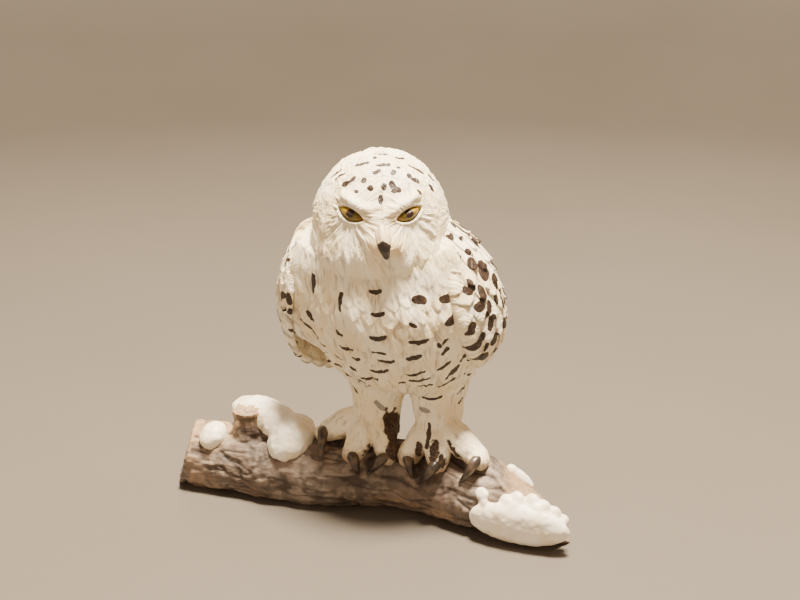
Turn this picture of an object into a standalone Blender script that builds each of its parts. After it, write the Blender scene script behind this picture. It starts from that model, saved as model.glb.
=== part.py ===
"""Snowy owl figurine on a bent log with snow: moulded pieces that plug together with pegs.

The frame is metres, +Z up, with the owl's face towards -Y, the log lying along X on its flat
underside, and the origin under the middle of the whole object. Left and right are the owl's own.
All sizes below are millimetres.
"""

import math
from bisect import bisect_right

import bmesh
import bpy
from mathutils import Matrix, Vector

MM = 0.001

# Facets round and along the large shapes
BODY_SEGMENTS, BODY_RINGS = 28, 16
HEAD_SEGMENTS, HEAD_RINGS = 26, 16
WING_SEGMENTS, WING_RINGS = 24, 14

# Fit between pieces
GAP = 0.3  # clear space between two glued faces
PEG_CLEARANCE = 0.3  # radial, and at a peg's end

# Log: its axis runs along X, and each station is (share of the length, y of the axis, share of the radius).
# The outer stations lie beyond the two breaks.
LOG_LENGTH = 64.1  # between the breaks, at half height
LOG_MIDDLE_X = -3.85
LOG_RADIUS = 6.7
LOG_FLAT = 0.9  # how much of the round is cut away underneath
LOG_STATIONS = [
    (-0.064, 8.4, 0.93),
    (0.204, 2.2, 0.97),
    (0.423, -2.6, 0.98),
    (0.593, -2.6, 0.95),
    (0.727, -6.0, 0.96),
    (0.873, -12.4, 1.01),
    (0.995, -15.6, 1.00),
    (1.153, -17.0, 0.98),
]
LOW_BREAK_SLANT = 16.0  # degrees from upright
HIGH_BREAK_SLANT = -48.5

# Broken side branch on the log
STUB_FROM_LOW_BREAK = 13.3
STUB_HEIGHT = 10.4  # from the log's axis
STUB_BASE_RADIUS = 4.1
STUB_TOP_RADIUS = 2.9

# Owl as it stands on the log
OWL_X = 6.2
OWL_YAW = -15.0  # degrees, the body turned towards its own right
LEG_HEIGHT = 11.8  # from the log's top to the underside of the body
LEAN_X = -4.8  # how far the body's top is from its base
LEAN_Y = -2.2

# Body: shares are from its underside to the top of its neck
BODY_HEIGHT = 34.0
BODY_WIDTH = 31.0
BODY_FRONT = 14.2
BODY_BACK = 13.2
BODY_GIRTH = [(0.0, 1.5), (0.08, 1.3), (0.24, 1.04), (0.5, 1.0), (0.68, 0.93), (0.82, 0.84), (1.0, 0.8)]

# Head: shares are from the underside of the ruff to the crown
HEAD_HEIGHT = 21.0
HEAD_WIDTH = 22.8
HEAD_FRONT = 11.0
HEAD_BACK = 11.2
HEAD_TURN_X = 0.1  # the head's axis against the body's top
HEAD_TURN_Y = -1.2
NECK_DEPTH = 11.6  # how far the body's neck rises into the head
HEAD_GIRTH = [(0.0, 1.4), (0.18, 1.26), (0.35, 1.06), (0.5, 1.0), (0.75, 0.96), (1.0, 0.94)]

# Face, from the head's middle
EYE_SPREAD = 5.0
EYE_RISE = 1.9
EYE_RADII = (2.4, 1.9, 1.35)
EYE_PROUD = 0.6  # how far an eye stands out of the head
EYE_SLANT = 14.0  # degrees that the eye's inner corner drops
BEAK_PATH = [(0.3, 9.0, 0.0), (0.5, 11.3, -0.6), (0.8, 12.3, -2.2), (1.0, 12.2, -3.9)]  # side, forward, up
BEAK_RADIUS = 1.35
BEAK_TIP_RADIUS = 0.4

# Wings: each station is (share down from the shoulder, front angle, rear angle, outer share of the body)
WING_TOP = 0.93  # share of the body's height
LEFT_WING_DROP = 29.2  # from shoulder to tip
RIGHT_WING_DROP = 31.6
LEFT_WING_SWING = -1.6  # of the tip along X
RIGHT_WING_SWING = -2.8
WING_THICKNESS = 6.0
WING_STAND_OFF = 1.4  # of the wing's middle from the body's side
WING_STATIONS = [
    (0.00, 75.0, 125.0, 0.50),
    (0.15, 58.0, 150.0, 0.79),
    (0.40, 56.0, 166.0, 0.99),
    (0.65, 60.0, 173.0, 1.03),
    (0.88, 70.0, 175.0, 0.94),
    (1.00, 84.0, 172.0, 0.80),
]

# Tail
TAIL_LENGTH = 19.0
TAIL_WIDTH = 12.0
TAIL_THICKNESS = 3.4
TAIL_SLOPE = 52.0  # degrees below the horizontal, towards the back
TAIL_ROOT_RISE = 9.5  # of the root over the body's underside
TAIL_ROOT_BACK = 7.0

# Legs and feet
LEG_SPREAD = 5.6  # of each leg from the owl's middle, along X
LEG_TOP_RADIUS = 5.0
ANKLE_RADIUS = 3.7
ANKLE_HEIGHT = 4.2  # over the log's top
TOE_RADIUS = 2.3
TOE_END_RADIUS = 1.8
# Each toe is (name, its end's x and its claw's tip's x from the ankle, its end's and its claw's tip's angle
# round the log from the top, side of the log)
RIGHT_TOES = [
    ("outer", -9.7, -10.1, 6.0, 44.0, 1),
    ("middle", -4.5, -3.2, 43.0, 71.0, 1),
    ("inner", 2.1, -1.6, 43.0, 68.0, 1),
    ("rear", 0.6, 0.4, 40.0, 76.0, -1),
]
LEFT_TOES = [
    ("inner", -5.7, -4.8, 40.0, 66.0, 1),
    ("middle", -0.4, -3.7, 41.0, 73.0, 1),
    ("outer", 6.9, 3.5, 22.0, 55.0, 1),
    ("rear", 0.4, 0.6, 40.0, 76.0, -1),
]

# Claws
CLAW_RADIUS = 0.95
CLAW_TIP_RADIUS = 0.25
CLAW_BITE = 1.2  # how far the claw's root sits inside the toe

# Pegs
LEG_PEG_RADIUS = 1.5
LEG_PEG_LENGTH = 5.0
FOOT_PEG_RADIUS = 1.2
FOOT_PEG_DEPTH = 5.0  # below the log's top
WING_PEG_RADIUS = 1.6
WING_PEG_LENGTH = 5.0
WING_PEG_SHARE = 0.62  # of the body's height
TAIL_PEG_RADIUS = 1.2
TAIL_PEG_LENGTH = 4.0

# Snow: each lump is (the break it is measured from, low -1 or high 1, its distance in from there,
# its angle round the log from the top towards the front, its radii along the log, across it and outwards)
SNOW_BALL = (-1, 5.3, 30.0, (2.6, 2.9, 2.4))
SNOW_LOBE = (-1, 20.7, 12.0, (4.3, 5.4, 4.3))
SNOW_CAP_RADII = (6.2, 3.7, 3.4)
SNOW_CAP_RISE = 9.2  # of the cap's middle over the log's axis
SNOW_CAP_BACK = 2.0
SNOW_DRIFT = (1, 3.0, 97.0, (9.1, 4.9, 2.4))
SNOW_KNOB = (1, 9.0, 80.0, (1.4, 2.4, 1.5))
SNOW_STRIP_IN = 1.6  # from the high break, on its back rim
SNOW_STRIP_RADII = (3.3, 1.2, 1.1)  # along the slope, backwards, outwards


def smooth(stations, place):
    """Value at a place on a smooth curve through (place, value) stations."""
    places = [station[0] for station in stations]
    last = len(stations) - 1
    place = min(max(place, places[0]), places[-1])
    i = min(bisect_right(places, place) - 1, last - 1)

    def slope(k):
        before, after = stations[max(k - 1, 0)], stations[min(k + 1, last)]
        return (after[1] - before[1]) / (after[0] - before[0])

    (p0, v0), (p1, v1) = stations[i], stations[i + 1]
    span = p1 - p0
    t = (place - p0) / span
    return (
        (2 * t**3 - 3 * t**2 + 1) * v0
        + (t**3 - 2 * t**2 + t) * span * slope(i)
        + (3 * t**2 - 2 * t**3) * v1
        + (t**3 - t**2) * span * slope(i + 1)
    )


def column(stations, k):
    """The stations' first and k-th numbers, for smooth()."""
    return [(station[0], station[k]) for station in stations]


# ---- Scene helpers


def clear_scene():
    for obj in list(bpy.data.objects):
        bpy.data.objects.remove(obj)


def collection_named(name):
    collection = bpy.data.collections.new(name)
    bpy.context.scene.collection.children.link(collection)
    return collection


def material(name, colour, roughness):
    made = bpy.data.materials.new(name)
    made.use_nodes = True
    shader = made.node_tree.nodes["Principled BSDF"]
    shader.inputs["Base Color"].default_value = (*colour, 1.0)
    shader.inputs["Roughness"].default_value = roughness
    shader.inputs["Metallic"].default_value = 0.0
    return made


def object_from(name, mesh, collection):
    obj = bpy.data.objects.new(name, mesh)
    collection.objects.link(obj)
    return obj


def hidden(obj):
    obj.hide_render = True
    obj.display_type = "WIRE"
    return obj


def boolean(target, operation, tool):
    modifier = target.modifiers.new(f"{operation.lower()}_{tool.name}", "BOOLEAN")
    modifier.operation = operation
    modifier.object = tool
    modifier.solver = "EXACT"


# ---- Shapes, all given in millimetres


def shaped_sphere(name, place, collection, segments=28, rings=18, grow=0.0):
    """A sphere whose points go where place() puts their unit directions, grown along its normals."""
    bm = bmesh.new()
    bmesh.ops.create_uvsphere(bm, u_segments=segments, v_segments=rings, radius=1.0)
    for vertex in bm.verts:
        vertex.co = place(vertex.co.normalized()) * MM
    bmesh.ops.recalc_face_normals(bm, faces=bm.faces)
    if sum(face.normal.dot(face.calc_center_median() - mean_point(bm)) for face in bm.faces) < 0:
        bmesh.ops.reverse_faces(bm, faces=bm.faces)
    bm.normal_update()
    for vertex, normal in [(v, v.normal.copy()) for v in bm.verts]:
        vertex.co += normal * grow * MM
    mesh = bpy.data.meshes.new(name)
    bm.to_mesh(mesh)
    bm.free()
    mesh.shade_smooth()
    return object_from(name, mesh, collection)


def mean_point(bm):
    total = Vector()
    for vertex in bm.verts:
        total += vertex.co
    return total / len(bm.verts)


def limb(name, path, radii, collection, sides=10, grow=0.0, samples=9):
    """A round tapered bar along a smooth path through the points, with closed flat ends."""
    last = len(path) - 1
    along = [i / last for i in range(last + 1)]
    curve = bpy.data.curves.new(name, "CURVE")
    curve.dimensions = "3D"
    curve.bevel_depth = MM
    curve.bevel_resolution = (sides - 4) // 2
    curve.use_fill_caps = True
    spline = curve.splines.new("POLY")
    spline.points.add(samples - 1)
    for i, point in enumerate(spline.points):
        t = i / (samples - 1)
        where = [smooth(list(zip(along, [p[k] for p in path])), t) for k in range(3)]
        point.co = (*(w * MM for w in where), 1.0)
        point.radius = smooth(list(zip(along, radii)), t) + grow
    obj = object_from(name + "_curve", curve, collection)
    bpy.context.view_layer.update()
    mesh = bpy.data.meshes.new_from_object(obj.evaluated_get(bpy.context.evaluated_depsgraph_get()))
    bpy.data.objects.remove(obj)
    bm = bmesh.new()
    bm.from_mesh(mesh)
    bmesh.ops.remove_doubles(bm, verts=bm.verts, dist=0.01 * MM)
    bmesh.ops.recalc_face_normals(bm, faces=bm.faces)
    bm.to_mesh(mesh)
    bm.free()
    return object_from(name, mesh, collection)


def peg(name, start, end, radius, collection, sides=16):
    """A straight round bar between two points."""
    start, end = Vector(start) * MM, Vector(end) * MM
    bm = bmesh.new()
    turn = (end - start).to_track_quat("Z", "Y").to_matrix().to_4x4()
    bmesh.ops.create_cone(
        bm,
        cap_ends=True,
        segments=sides,
        radius1=radius * MM,
        radius2=radius * MM,
        depth=(end - start).length,
        matrix=Matrix.Translation((start + end) / 2) @ turn,
    )
    mesh = bpy.data.meshes.new(name)
    bm.to_mesh(mesh)
    bm.free()
    return object_from(name, mesh, collection)


def ellipsoid(name, centre, axes, radii, collection, grow=0.0, segments=16, rings=10):
    """An ellipsoid whose radii lie along three given directions."""

    def place(n):
        return centre + sum(((axis * n[k] * radii[k]) for k, axis in enumerate(axes)), Vector())

    return shaped_sphere(name, place, collection, segments, rings, grow)


# ---- Log


def break_x(side):
    """Where the low (-1) or high (1) break crosses half height."""
    return LOG_MIDDLE_X + side * LOG_LENGTH / 2


def stub_x():
    return break_x(-1) + STUB_FROM_LOW_BREAK


def log_share(x):
    return (x - break_x(-1)) / LOG_LENGTH


def log_radius(x):
    return LOG_RADIUS * smooth(column(LOG_STATIONS, 2), log_share(x))


def log_axis(x):
    return Vector((x, smooth(column(LOG_STATIONS, 1), log_share(x)), log_radius(x) - LOG_FLAT))


def log_frame(x):
    """The log's axis point, its direction towards +X, and the level direction out of its front."""
    step = 0.5
    along = log_axis(x + step) - log_axis(x - step)
    along.z = 0.0
    along.normalize()
    return log_axis(x), along, Vector((along.y, -along.x, 0.0))


def round_log(x, angle, stand_off, side=1):
    """The point at x that is stand_off over the bark, angle degrees from the top to the front (side 1) or back."""
    turn = math.radians(angle)
    station = x
    for _ in range(4):
        centre, _, front = log_frame(station)
        out = front * side * math.sin(turn) + Vector((0, 0, math.cos(turn)))
        point = centre + out * (log_radius(station) + stand_off)
        station += x - point.x
    return point


def log_body(name, collection, cutters, grow=0.0):
    """The log with both ends broken off at their slants. A grown one's ends move out too."""
    count = 17
    first, last = LOG_STATIONS[0][0], LOG_STATIONS[-1][0]
    places = [break_x(-1) + LOG_LENGTH * (first + (last - first) * i / (count - 1)) for i in range(count)]
    radii = [log_radius(x) for x in places]
    log = limb(name, [log_axis(x) for x in places], radii, collection, sides=20, grow=grow, samples=count)
    far = LOG_LENGTH
    for side, slant in ((-1, LOW_BREAK_SLANT), (1, HIGH_BREAK_SLANT)):
        mesh = box_mesh(f"{name}_break_{side}", (min(far * side, 0), -far, -far), (max(far * side, 0), far, far))
        turn = math.radians(slant)
        mesh.transform(Matrix.Rotation(turn, 4, "Y"))
        outward = Vector((math.cos(turn), 0, -math.sin(turn))) * side
        middle = Vector((break_x(side), 0, LOG_RADIUS - LOG_FLAT))
        mesh.transform(Matrix.Translation((middle + outward * grow) * MM))
        boolean(log, "DIFFERENCE", hidden(object_from(mesh.name, mesh, cutters)))
    return log


def stub_body(name, collection, grow=0.0):
    base, _, front = log_frame(stub_x())
    top = base + Vector((-0.6, 0.0, STUB_HEIGHT + grow)) + front * 0.4
    return limb(
        name, [base, (base + top) / 2, top], [STUB_BASE_RADIUS, (STUB_BASE_RADIUS + STUB_TOP_RADIUS) / 2, STUB_TOP_RADIUS],
        collection, sides=14, grow=grow, samples=5,
    )


# ---- Owl's shapes


def body_base():
    """Where the body's axis meets its underside."""
    return log_axis(OWL_X) + Vector((0, 0, log_radius(OWL_X) + LEG_HEIGHT))


def body_axis(share):
    return body_base() + Vector((LEAN_X * share, LEAN_Y * share, BODY_HEIGHT * share))


def turned(local):
    """A direction in the owl's own frame (front along -Y), turned by the owl's yaw."""
    return Matrix.Rotation(math.radians(OWL_YAW), 3, "Z") @ Vector(local)


def body_place(n):
    share = (n.z + 1) / 2
    girth = smooth(BODY_GIRTH, share)
    depth = BODY_FRONT if n.y < 0 else BODY_BACK
    return body_axis(share) + turned((n.x * BODY_WIDTH / 2 * girth, n.y * depth * girth, 0))


def head_bottom():
    top = body_axis(1.0)
    return Vector((top.x + HEAD_TURN_X, top.y + HEAD_TURN_Y, top.z - NECK_DEPTH))


def head_centre():
    return head_bottom() + Vector((0, 0, HEAD_HEIGHT / 2))


def head_place(n):
    share = (n.z + 1) / 2
    girth = smooth(HEAD_GIRTH, share)
    depth = HEAD_FRONT if n.y < 0 else HEAD_BACK
    return head_bottom() + Vector((n.x * HEAD_WIDTH / 2 * girth, n.y * depth * girth, HEAD_HEIGHT * share))


def wing_place(side):
    """Maps a sphere to a curved blade beside the body: n.z runs from shoulder to tip, n.y from front to rear."""

    drop, swing_x = (LEFT_WING_DROP, LEFT_WING_SWING) if side > 0 else (RIGHT_WING_DROP, RIGHT_WING_SWING)

    def place(n):
        down = (1 - n.z) / 2
        share = WING_TOP - down * drop / BODY_HEIGHT
        level = math.hypot(n.x, n.y)
        across, out = (n.y, n.x) if level < 1e-6 else (n.y / level, n.x / level)
        blunt = level**0.7
        front, rear = (smooth(column(WING_STATIONS, k), down) for k in (1, 2))
        turn = math.radians((front + rear) / 2 + across * blunt * (rear - front) / 2)
        outer = smooth(column(WING_STATIONS, 3), down)
        stand = WING_STAND_OFF + out * blunt * WING_THICKNESS / 2
        wide = BODY_WIDTH / 2 * outer + stand
        deep = (BODY_BACK if math.cos(turn) < 0 else BODY_FRONT) * outer + stand
        swing = Vector((swing_x * down, 0, 0))
        return body_axis(share) + swing + turned((side * math.sin(turn) * wide, -math.cos(turn) * deep, 0))

    return place


def tail_frame():
    root = body_base() + turned((0, TAIL_ROOT_BACK, 0)) + Vector((0, 0, TAIL_ROOT_RISE))
    slope = math.radians(TAIL_SLOPE)
    along = turned((0, math.cos(slope), -math.sin(slope)))
    wide = turned((1, 0, 0))
    return root, along, wide, wide.cross(along)


def tail_place(n):
    root, along, wide, thick = tail_frame()
    down = (1 - n.z) / 2
    spread = 0.55 + 0.45 * down  # the fan widens towards its tip
    level = math.hypot(n.x, n.y)
    blunt = level**0.5 / max(level, 1e-6)
    return (
        root
        + along * TAIL_LENGTH * down
        + wide * n.x * blunt * TAIL_WIDTH / 2 * spread
        + thick * n.y * blunt * TAIL_THICKNESS / 2
    )


def ankle(side):
    """Middle of the ankle: side 1 is the owl's left leg, at +X."""
    x = OWL_X + side * LEG_SPREAD
    return log_axis(x) + Vector((0, 0, log_radius(x) + ANKLE_HEIGHT))


# ---- Pieces


def slab_under(name, top, collection):
    """A cutter for everything below a height."""
    far = LOG_LENGTH * 2
    return hidden(object_from(name, box_mesh(name, (-far, -far, -far), (far, far, top)), collection))


def make_log(parts, cutters, bark):
    branch = log_body("branch", parts, cutters)
    boolean(branch, "UNION", hidden(stub_body("stub", cutters)))
    boolean(branch, "DIFFERENCE", slab_under("under_log", 0.0, cutters))
    for side in (1, -1):
        middle = ankle(side)
        floor = middle.z - ANKLE_HEIGHT - FOOT_PEG_DEPTH - PEG_CLEARANCE
        bore = peg(
            f"foot_bore_{side}", middle, (middle.x, middle.y, floor), FOOT_PEG_RADIUS + PEG_CLEARANCE, cutters
        )
        boolean(branch, "DIFFERENCE", hidden(bore))
    branch.data.materials.append(bark)
    return branch


def box_mesh(name, low, high):
    bm = bmesh.new()
    bmesh.ops.create_cube(bm, size=1.0)
    low, high = Vector(low) * MM, Vector(high) * MM
    for vertex in bm.verts:
        vertex.co = Vector((low[k] + (vertex.co[k] + 0.5) * (high[k] - low[k]) for k in range(3)))
    mesh = bpy.data.meshes.new(name)
    bm.to_mesh(mesh)
    bm.free()
    return mesh


def wing_peg_ends(side):
    inner = body_axis(WING_PEG_SHARE)
    reach = BODY_WIDTH / 2 * smooth(BODY_GIRTH, WING_PEG_SHARE)
    outer = inner + turned((side * (reach + WING_STAND_OFF), 0, 0))
    return outer, inner + turned((side * (reach - WING_PEG_LENGTH), 0, 0))


def tail_peg_ends():
    root, along, _, _ = tail_frame()
    return root + along * TAIL_LENGTH * 0.45, root + along * (TAIL_LENGTH * 0.12)


def leg_peg_ends(side):
    middle = leg_top(side)
    return middle - Vector((0, 0, 4.0)), middle + Vector((0, 0, LEG_PEG_LENGTH))


def leg_top(side):
    foot = ankle(side)
    middle = body_base() + Vector((side * LEG_SPREAD * 0.9, 0, 0))
    return Vector(((middle.x + foot.x) / 2, (middle.y + foot.y) / 2, middle.z + 2.0))


def beyond(start, end, extra):
    """The end moved further along by extra."""
    return end + (end - start).normalized() * extra


def make_body(parts, cutters, feathers):
    body = shaped_sphere("owl_body", body_place, parts, BODY_SEGMENTS, BODY_RINGS)
    bores = [(*wing_peg_ends(side), WING_PEG_RADIUS) for side in (1, -1)]
    bores += [(*leg_peg_ends(side), LEG_PEG_RADIUS) for side in (1, -1)]
    bores.append((*tail_peg_ends(), TAIL_PEG_RADIUS))
    for i, (start, end, radius) in enumerate(bores):
        bore = peg(f"body_bore_{i}", start, beyond(start, end, PEG_CLEARANCE), radius + PEG_CLEARANCE, cutters)
        boolean(body, "DIFFERENCE", hidden(bore))
    body.data.materials.append(feathers)
    return body


def eye_frame(side):
    """Middle of an eye on the head's surface, and the directions across, out of and up the face there."""
    middle = head_centre()
    turn = Vector((side * EYE_SPREAD / (HEAD_WIDTH / 2), 0, EYE_RISE / (HEAD_HEIGHT / 2)))
    turn.y = -math.sqrt(1 - turn.x**2 - turn.z**2)
    surface = head_place(turn)
    out = (surface - middle).normalized()
    across = Vector((0, 0, 1)).cross(out).normalized()
    slant = Matrix.Rotation(math.radians(side * EYE_SLANT), 3, out)
    across = slant @ across
    return surface + out * (EYE_PROUD - EYE_RADII[1]), across, out, out.cross(across)


def make_eye(side, name, collection, grow=0.0):
    centre, across, out, up = eye_frame(side)
    return ellipsoid(name, centre, [across, out, up], EYE_RADII, collection, grow)


def make_beak(name, collection, grow=0.0):
    middle = head_centre()
    path = [middle + Vector((x, -forward, up)) for x, forward, up in BEAK_PATH]
    if grow:
        path[-1] = beyond(path[-2], path[-1], grow)
        path[0] = beyond(path[1], path[0], grow)
    shrink = [1.0, 0.95, 0.7]
    radii = [BEAK_RADIUS * share for share in shrink] + [BEAK_TIP_RADIUS]
    return limb(name, path, radii, collection, sides=10, grow=grow, samples=8)


def make_head(parts, cutters, feathers):
    head = shaped_sphere("owl_head", head_place, parts, HEAD_SEGMENTS, HEAD_RINGS)
    boolean(head, "DIFFERENCE", hidden(shaped_sphere("neck_room", body_place, cutters, BODY_SEGMENTS, BODY_RINGS, GAP)))
    for side in (1, -1):
        boolean(head, "DIFFERENCE", hidden(make_eye(side, f"eye_room_{side}", cutters, GAP)))
    boolean(head, "DIFFERENCE", hidden(make_beak("beak_room", cutters, GAP)))
    head.data.materials.append(feathers)
    return head


def make_wing(side, name, parts, cutters, feathers):
    wing = shaped_sphere(name, wing_place(side), parts, WING_SEGMENTS, WING_RINGS)
    boolean(wing, "DIFFERENCE", hidden(shaped_sphere(name + "_body_room", body_place, cutters, BODY_SEGMENTS, BODY_RINGS, GAP)))
    boolean(wing, "DIFFERENCE", hidden(shaped_sphere(name + "_head_room", head_place, cutters, HEAD_SEGMENTS, HEAD_RINGS, GAP)))
    boolean(wing, "UNION", hidden(peg(name + "_peg", *wing_peg_ends(side), WING_PEG_RADIUS, cutters)))
    wing.data.materials.append(feathers)
    return wing


def make_tail(parts, cutters, feathers):
    tail = shaped_sphere("tail", tail_place, parts, 20, 12)
    boolean(tail, "DIFFERENCE", hidden(shaped_sphere("tail_body_room", body_place, cutters, BODY_SEGMENTS, BODY_RINGS, GAP)))
    for side in (1, -1):
        room = shaped_sphere(f"tail_wing_room_{side}", wing_place(side), cutters, WING_SEGMENTS, WING_RINGS, GAP)
        boolean(tail, "DIFFERENCE", hidden(room))
    boolean(tail, "UNION", hidden(peg("tail_peg", *tail_peg_ends(), TAIL_PEG_RADIUS, cutters)))
    tail.data.materials.append(feathers)
    return tail


def toe_end(side, toe):
    _, reach, _, angle, _, front = toe
    return round_log(ankle(side).x + reach, angle, TOE_END_RADIUS * 0.8, front)


def make_claw(side, toe, name, collection, grow=0.0):
    """A claw that leaves its toe's end and follows the log's round down to its tip."""
    _, reach, tip, start_angle, end_angle, front = toe
    x = ankle(side).x
    points, radii = [], []
    steps = 4
    for i in range(steps + 1):
        t = i / steps
        radius = CLAW_RADIUS + (CLAW_TIP_RADIUS - CLAW_RADIUS) * t**1.5
        hump = 1.1 * math.sin(math.pi * min(t + 0.15, 1.0))
        stand = GAP * 1.5 + radius + hump
        angle = start_angle + (end_angle - start_angle) * t
        points.append(round_log(x + reach + (tip - reach) * t, angle, stand, front))
        radii.append(radius)
    if grow:
        points[-1] = beyond(points[-2], points[-1], grow)
        points[0] = beyond(points[1], points[0], grow)
    return limb(name, points, radii, collection, sides=8, grow=grow, samples=8)


def make_leg(side, name, toes, parts, cutters, feathers):
    foot, top = ankle(side), leg_top(side)
    middle = (foot + top) / 2
    leg = limb(name, [foot - Vector((0, 0, 1.5)), foot, middle, top],
               [ANKLE_RADIUS, ANKLE_RADIUS, (ANKLE_RADIUS + LEG_TOP_RADIUS) / 2, LEG_TOP_RADIUS],
               parts, sides=14, samples=8)
    for toe in toes:
        end = toe_end(side, toe)
        knuckle = (foot + end) / 2 + Vector((0, 0, 0.9))
        part = limb(f"{name}_{toe[0]}_toe", [foot - Vector((0, 0, 0.6)), knuckle, end],
                    [TOE_RADIUS, TOE_RADIUS, TOE_END_RADIUS], cutters, sides=10, samples=6)
        boolean(leg, "UNION", hidden(part))
    boolean(leg, "DIFFERENCE", hidden(log_body(name + "_log_room", cutters, cutters, GAP)))
    boolean(leg, "DIFFERENCE", hidden(shaped_sphere(name + "_body_room", body_place, cutters, BODY_SEGMENTS, BODY_RINGS, GAP)))
    for toe in toes:
        boolean(leg, "DIFFERENCE", hidden(make_claw(side, toe, f"{name}_{toe[0]}_claw_room", cutters, GAP)))
    boolean(leg, "UNION", hidden(peg(name + "_peg", *leg_peg_ends(side), LEG_PEG_RADIUS, cutters)))
    low = Vector((foot.x, foot.y, foot.z - ANKLE_HEIGHT - FOOT_PEG_DEPTH))
    boolean(leg, "UNION", hidden(peg(name + "_foot_peg", foot, low, FOOT_PEG_RADIUS, cutters)))
    leg.data.materials.append(feathers)
    return leg


def snow_on_log(name, lump, collection, grow=0.0, segments=18, rings=12):
    """A rounded lump of snow lying on the log's bark."""
    end, inwards, angle, radii = lump
    x = break_x(end) - end * inwards
    side = 1 if angle >= 0 else -1
    centre, along, _ = log_frame(x)
    surface = round_log(x, abs(angle), 0.0, side)
    out = (surface - centre).normalized()
    return ellipsoid(name, surface, [along, out.cross(along), out], radii, collection, grow, segments, rings)


def snow_cap(name, collection):
    centre, along, front = log_frame(stub_x())
    middle = centre + Vector((0, 0, SNOW_CAP_RISE)) - front * SNOW_CAP_BACK
    return ellipsoid(name, middle, [along, front, Vector((0, 0, 1))], SNOW_CAP_RADII, collection, 0.0, 20, 14)


def snow_strip(name, collection):
    """A thin strip of snow along the back rim of the log's broken high end."""
    turn = math.radians(-HIGH_BREAK_SLANT)
    x = break_x(1) - SNOW_STRIP_IN
    centre, _, _ = log_frame(x)
    rise = SNOW_STRIP_IN / math.tan(turn)
    back = math.sqrt(log_radius(x) ** 2 - rise**2)
    rim = Vector((x, centre.y + back, centre.z + rise))
    axes = [Vector((math.sin(turn), 0, -math.cos(turn))), Vector((0, 1, 0)), Vector((math.cos(turn), 0, math.sin(turn)))]
    return ellipsoid(name, rim, axes, SNOW_STRIP_RADII, collection)


def finish_snow(lump, cutters, snow):
    """Clears the log and the stub out of a snow lump."""
    boolean(lump, "DIFFERENCE", hidden(log_body(lump.name + "_log_room", cutters, cutters, GAP)))
    boolean(lump, "DIFFERENCE", hidden(stub_body(lump.name + "_stub_room", cutters, GAP)))
    lump.data.materials.append(snow)
    return lump


def make_snow(parts, cutters, snow):
    ball = snow_on_log("snow_ball", SNOW_BALL, parts)
    cap = snow_cap("snow_cap", parts)
    boolean(cap, "UNION", hidden(snow_on_log("snow_lobe", SNOW_LOBE, cutters)))
    drift = snow_on_log("snow_drift", SNOW_DRIFT, parts, segments=22, rings=14)
    boolean(drift, "UNION", hidden(snow_on_log("snow_knob", SNOW_KNOB, cutters)))
    strip = snow_strip("snow_strip", parts)
    for lump in (ball, cap, drift, strip):
        finish_snow(lump, cutters, snow)
    boolean(drift, "DIFFERENCE", slab_under("under_drift", GAP, cutters))


def rest_on_middle():
    """Moves everything so that the origin is under the middle of the object."""
    bpy.context.view_layer.update()
    graph = bpy.context.evaluated_depsgraph_get()
    points = []
    for obj in bpy.data.objects:
        if obj.type == "MESH" and not obj.hide_render:
            evaluated = obj.evaluated_get(graph)
            points += [evaluated.matrix_world @ Vector(corner) for corner in evaluated.bound_box]
    low = Vector((min(p[k] for p in points) for k in range(3)))
    high = Vector((max(p[k] for p in points) for k in range(3)))
    shift = Vector((-(low.x + high.x) / 2, -(low.y + high.y) / 2, -low.z))
    for obj in bpy.data.objects:
        obj.location += shift
    print("moved by", [round(k / MM, 2) for k in shift], "mm")


def main():
    clear_scene()
    parts = collection_named("owl_figurine")
    cutters = collection_named("cutters")
    feathers = material("white_feathers", (0.83, 0.79, 0.72), 0.6)
    leg_feathers = material("leg_feathers", (0.78, 0.72, 0.62), 0.65)
    iris = material("yellow_iris", (0.55, 0.40, 0.03), 0.25)
    horn = material("black_horn", (0.035, 0.028, 0.024), 0.3)
    bark = material("brown_bark", (0.17, 0.11, 0.07), 0.7)
    snow = material("snow", (0.88, 0.86, 0.81), 0.5)

    make_log(parts, cutters, bark)
    make_body(parts, cutters, feathers)
    make_head(parts, cutters, feathers)
    for side, name in ((1, "left"), (-1, "right")):
        make_wing(side, f"{name}_wing", parts, cutters, feathers)
        make_eye(side, f"{name}_eye", parts).data.materials.append(iris)
        toes = LEFT_TOES if side == 1 else RIGHT_TOES
        make_leg(side, f"{name}_leg", toes, parts, cutters, leg_feathers)
        for toe in toes:
            make_claw(side, toe, f"{name}_{toe[0]}_claw", parts).data.materials.append(horn)
    make_tail(parts, cutters, feathers)
    make_beak("beak", parts).data.materials.append(horn)
    make_snow(parts, cutters, snow)
    rest_on_middle()


main()
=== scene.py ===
import math

import bpy
import numpy as np
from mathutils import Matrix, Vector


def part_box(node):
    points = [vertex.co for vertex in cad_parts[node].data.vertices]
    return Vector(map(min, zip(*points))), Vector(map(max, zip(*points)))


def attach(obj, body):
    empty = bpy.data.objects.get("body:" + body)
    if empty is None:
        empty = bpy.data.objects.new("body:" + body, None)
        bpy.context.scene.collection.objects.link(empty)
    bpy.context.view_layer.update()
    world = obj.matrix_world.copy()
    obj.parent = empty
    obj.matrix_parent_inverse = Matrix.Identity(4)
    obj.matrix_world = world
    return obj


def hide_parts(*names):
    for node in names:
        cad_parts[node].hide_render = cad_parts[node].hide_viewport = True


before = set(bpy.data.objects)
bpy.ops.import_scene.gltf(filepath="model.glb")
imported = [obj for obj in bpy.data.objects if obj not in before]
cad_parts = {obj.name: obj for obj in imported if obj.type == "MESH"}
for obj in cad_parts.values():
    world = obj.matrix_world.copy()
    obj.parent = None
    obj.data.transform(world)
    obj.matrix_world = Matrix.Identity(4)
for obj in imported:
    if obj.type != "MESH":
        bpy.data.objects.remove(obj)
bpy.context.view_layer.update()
mm = 0.001


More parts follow.
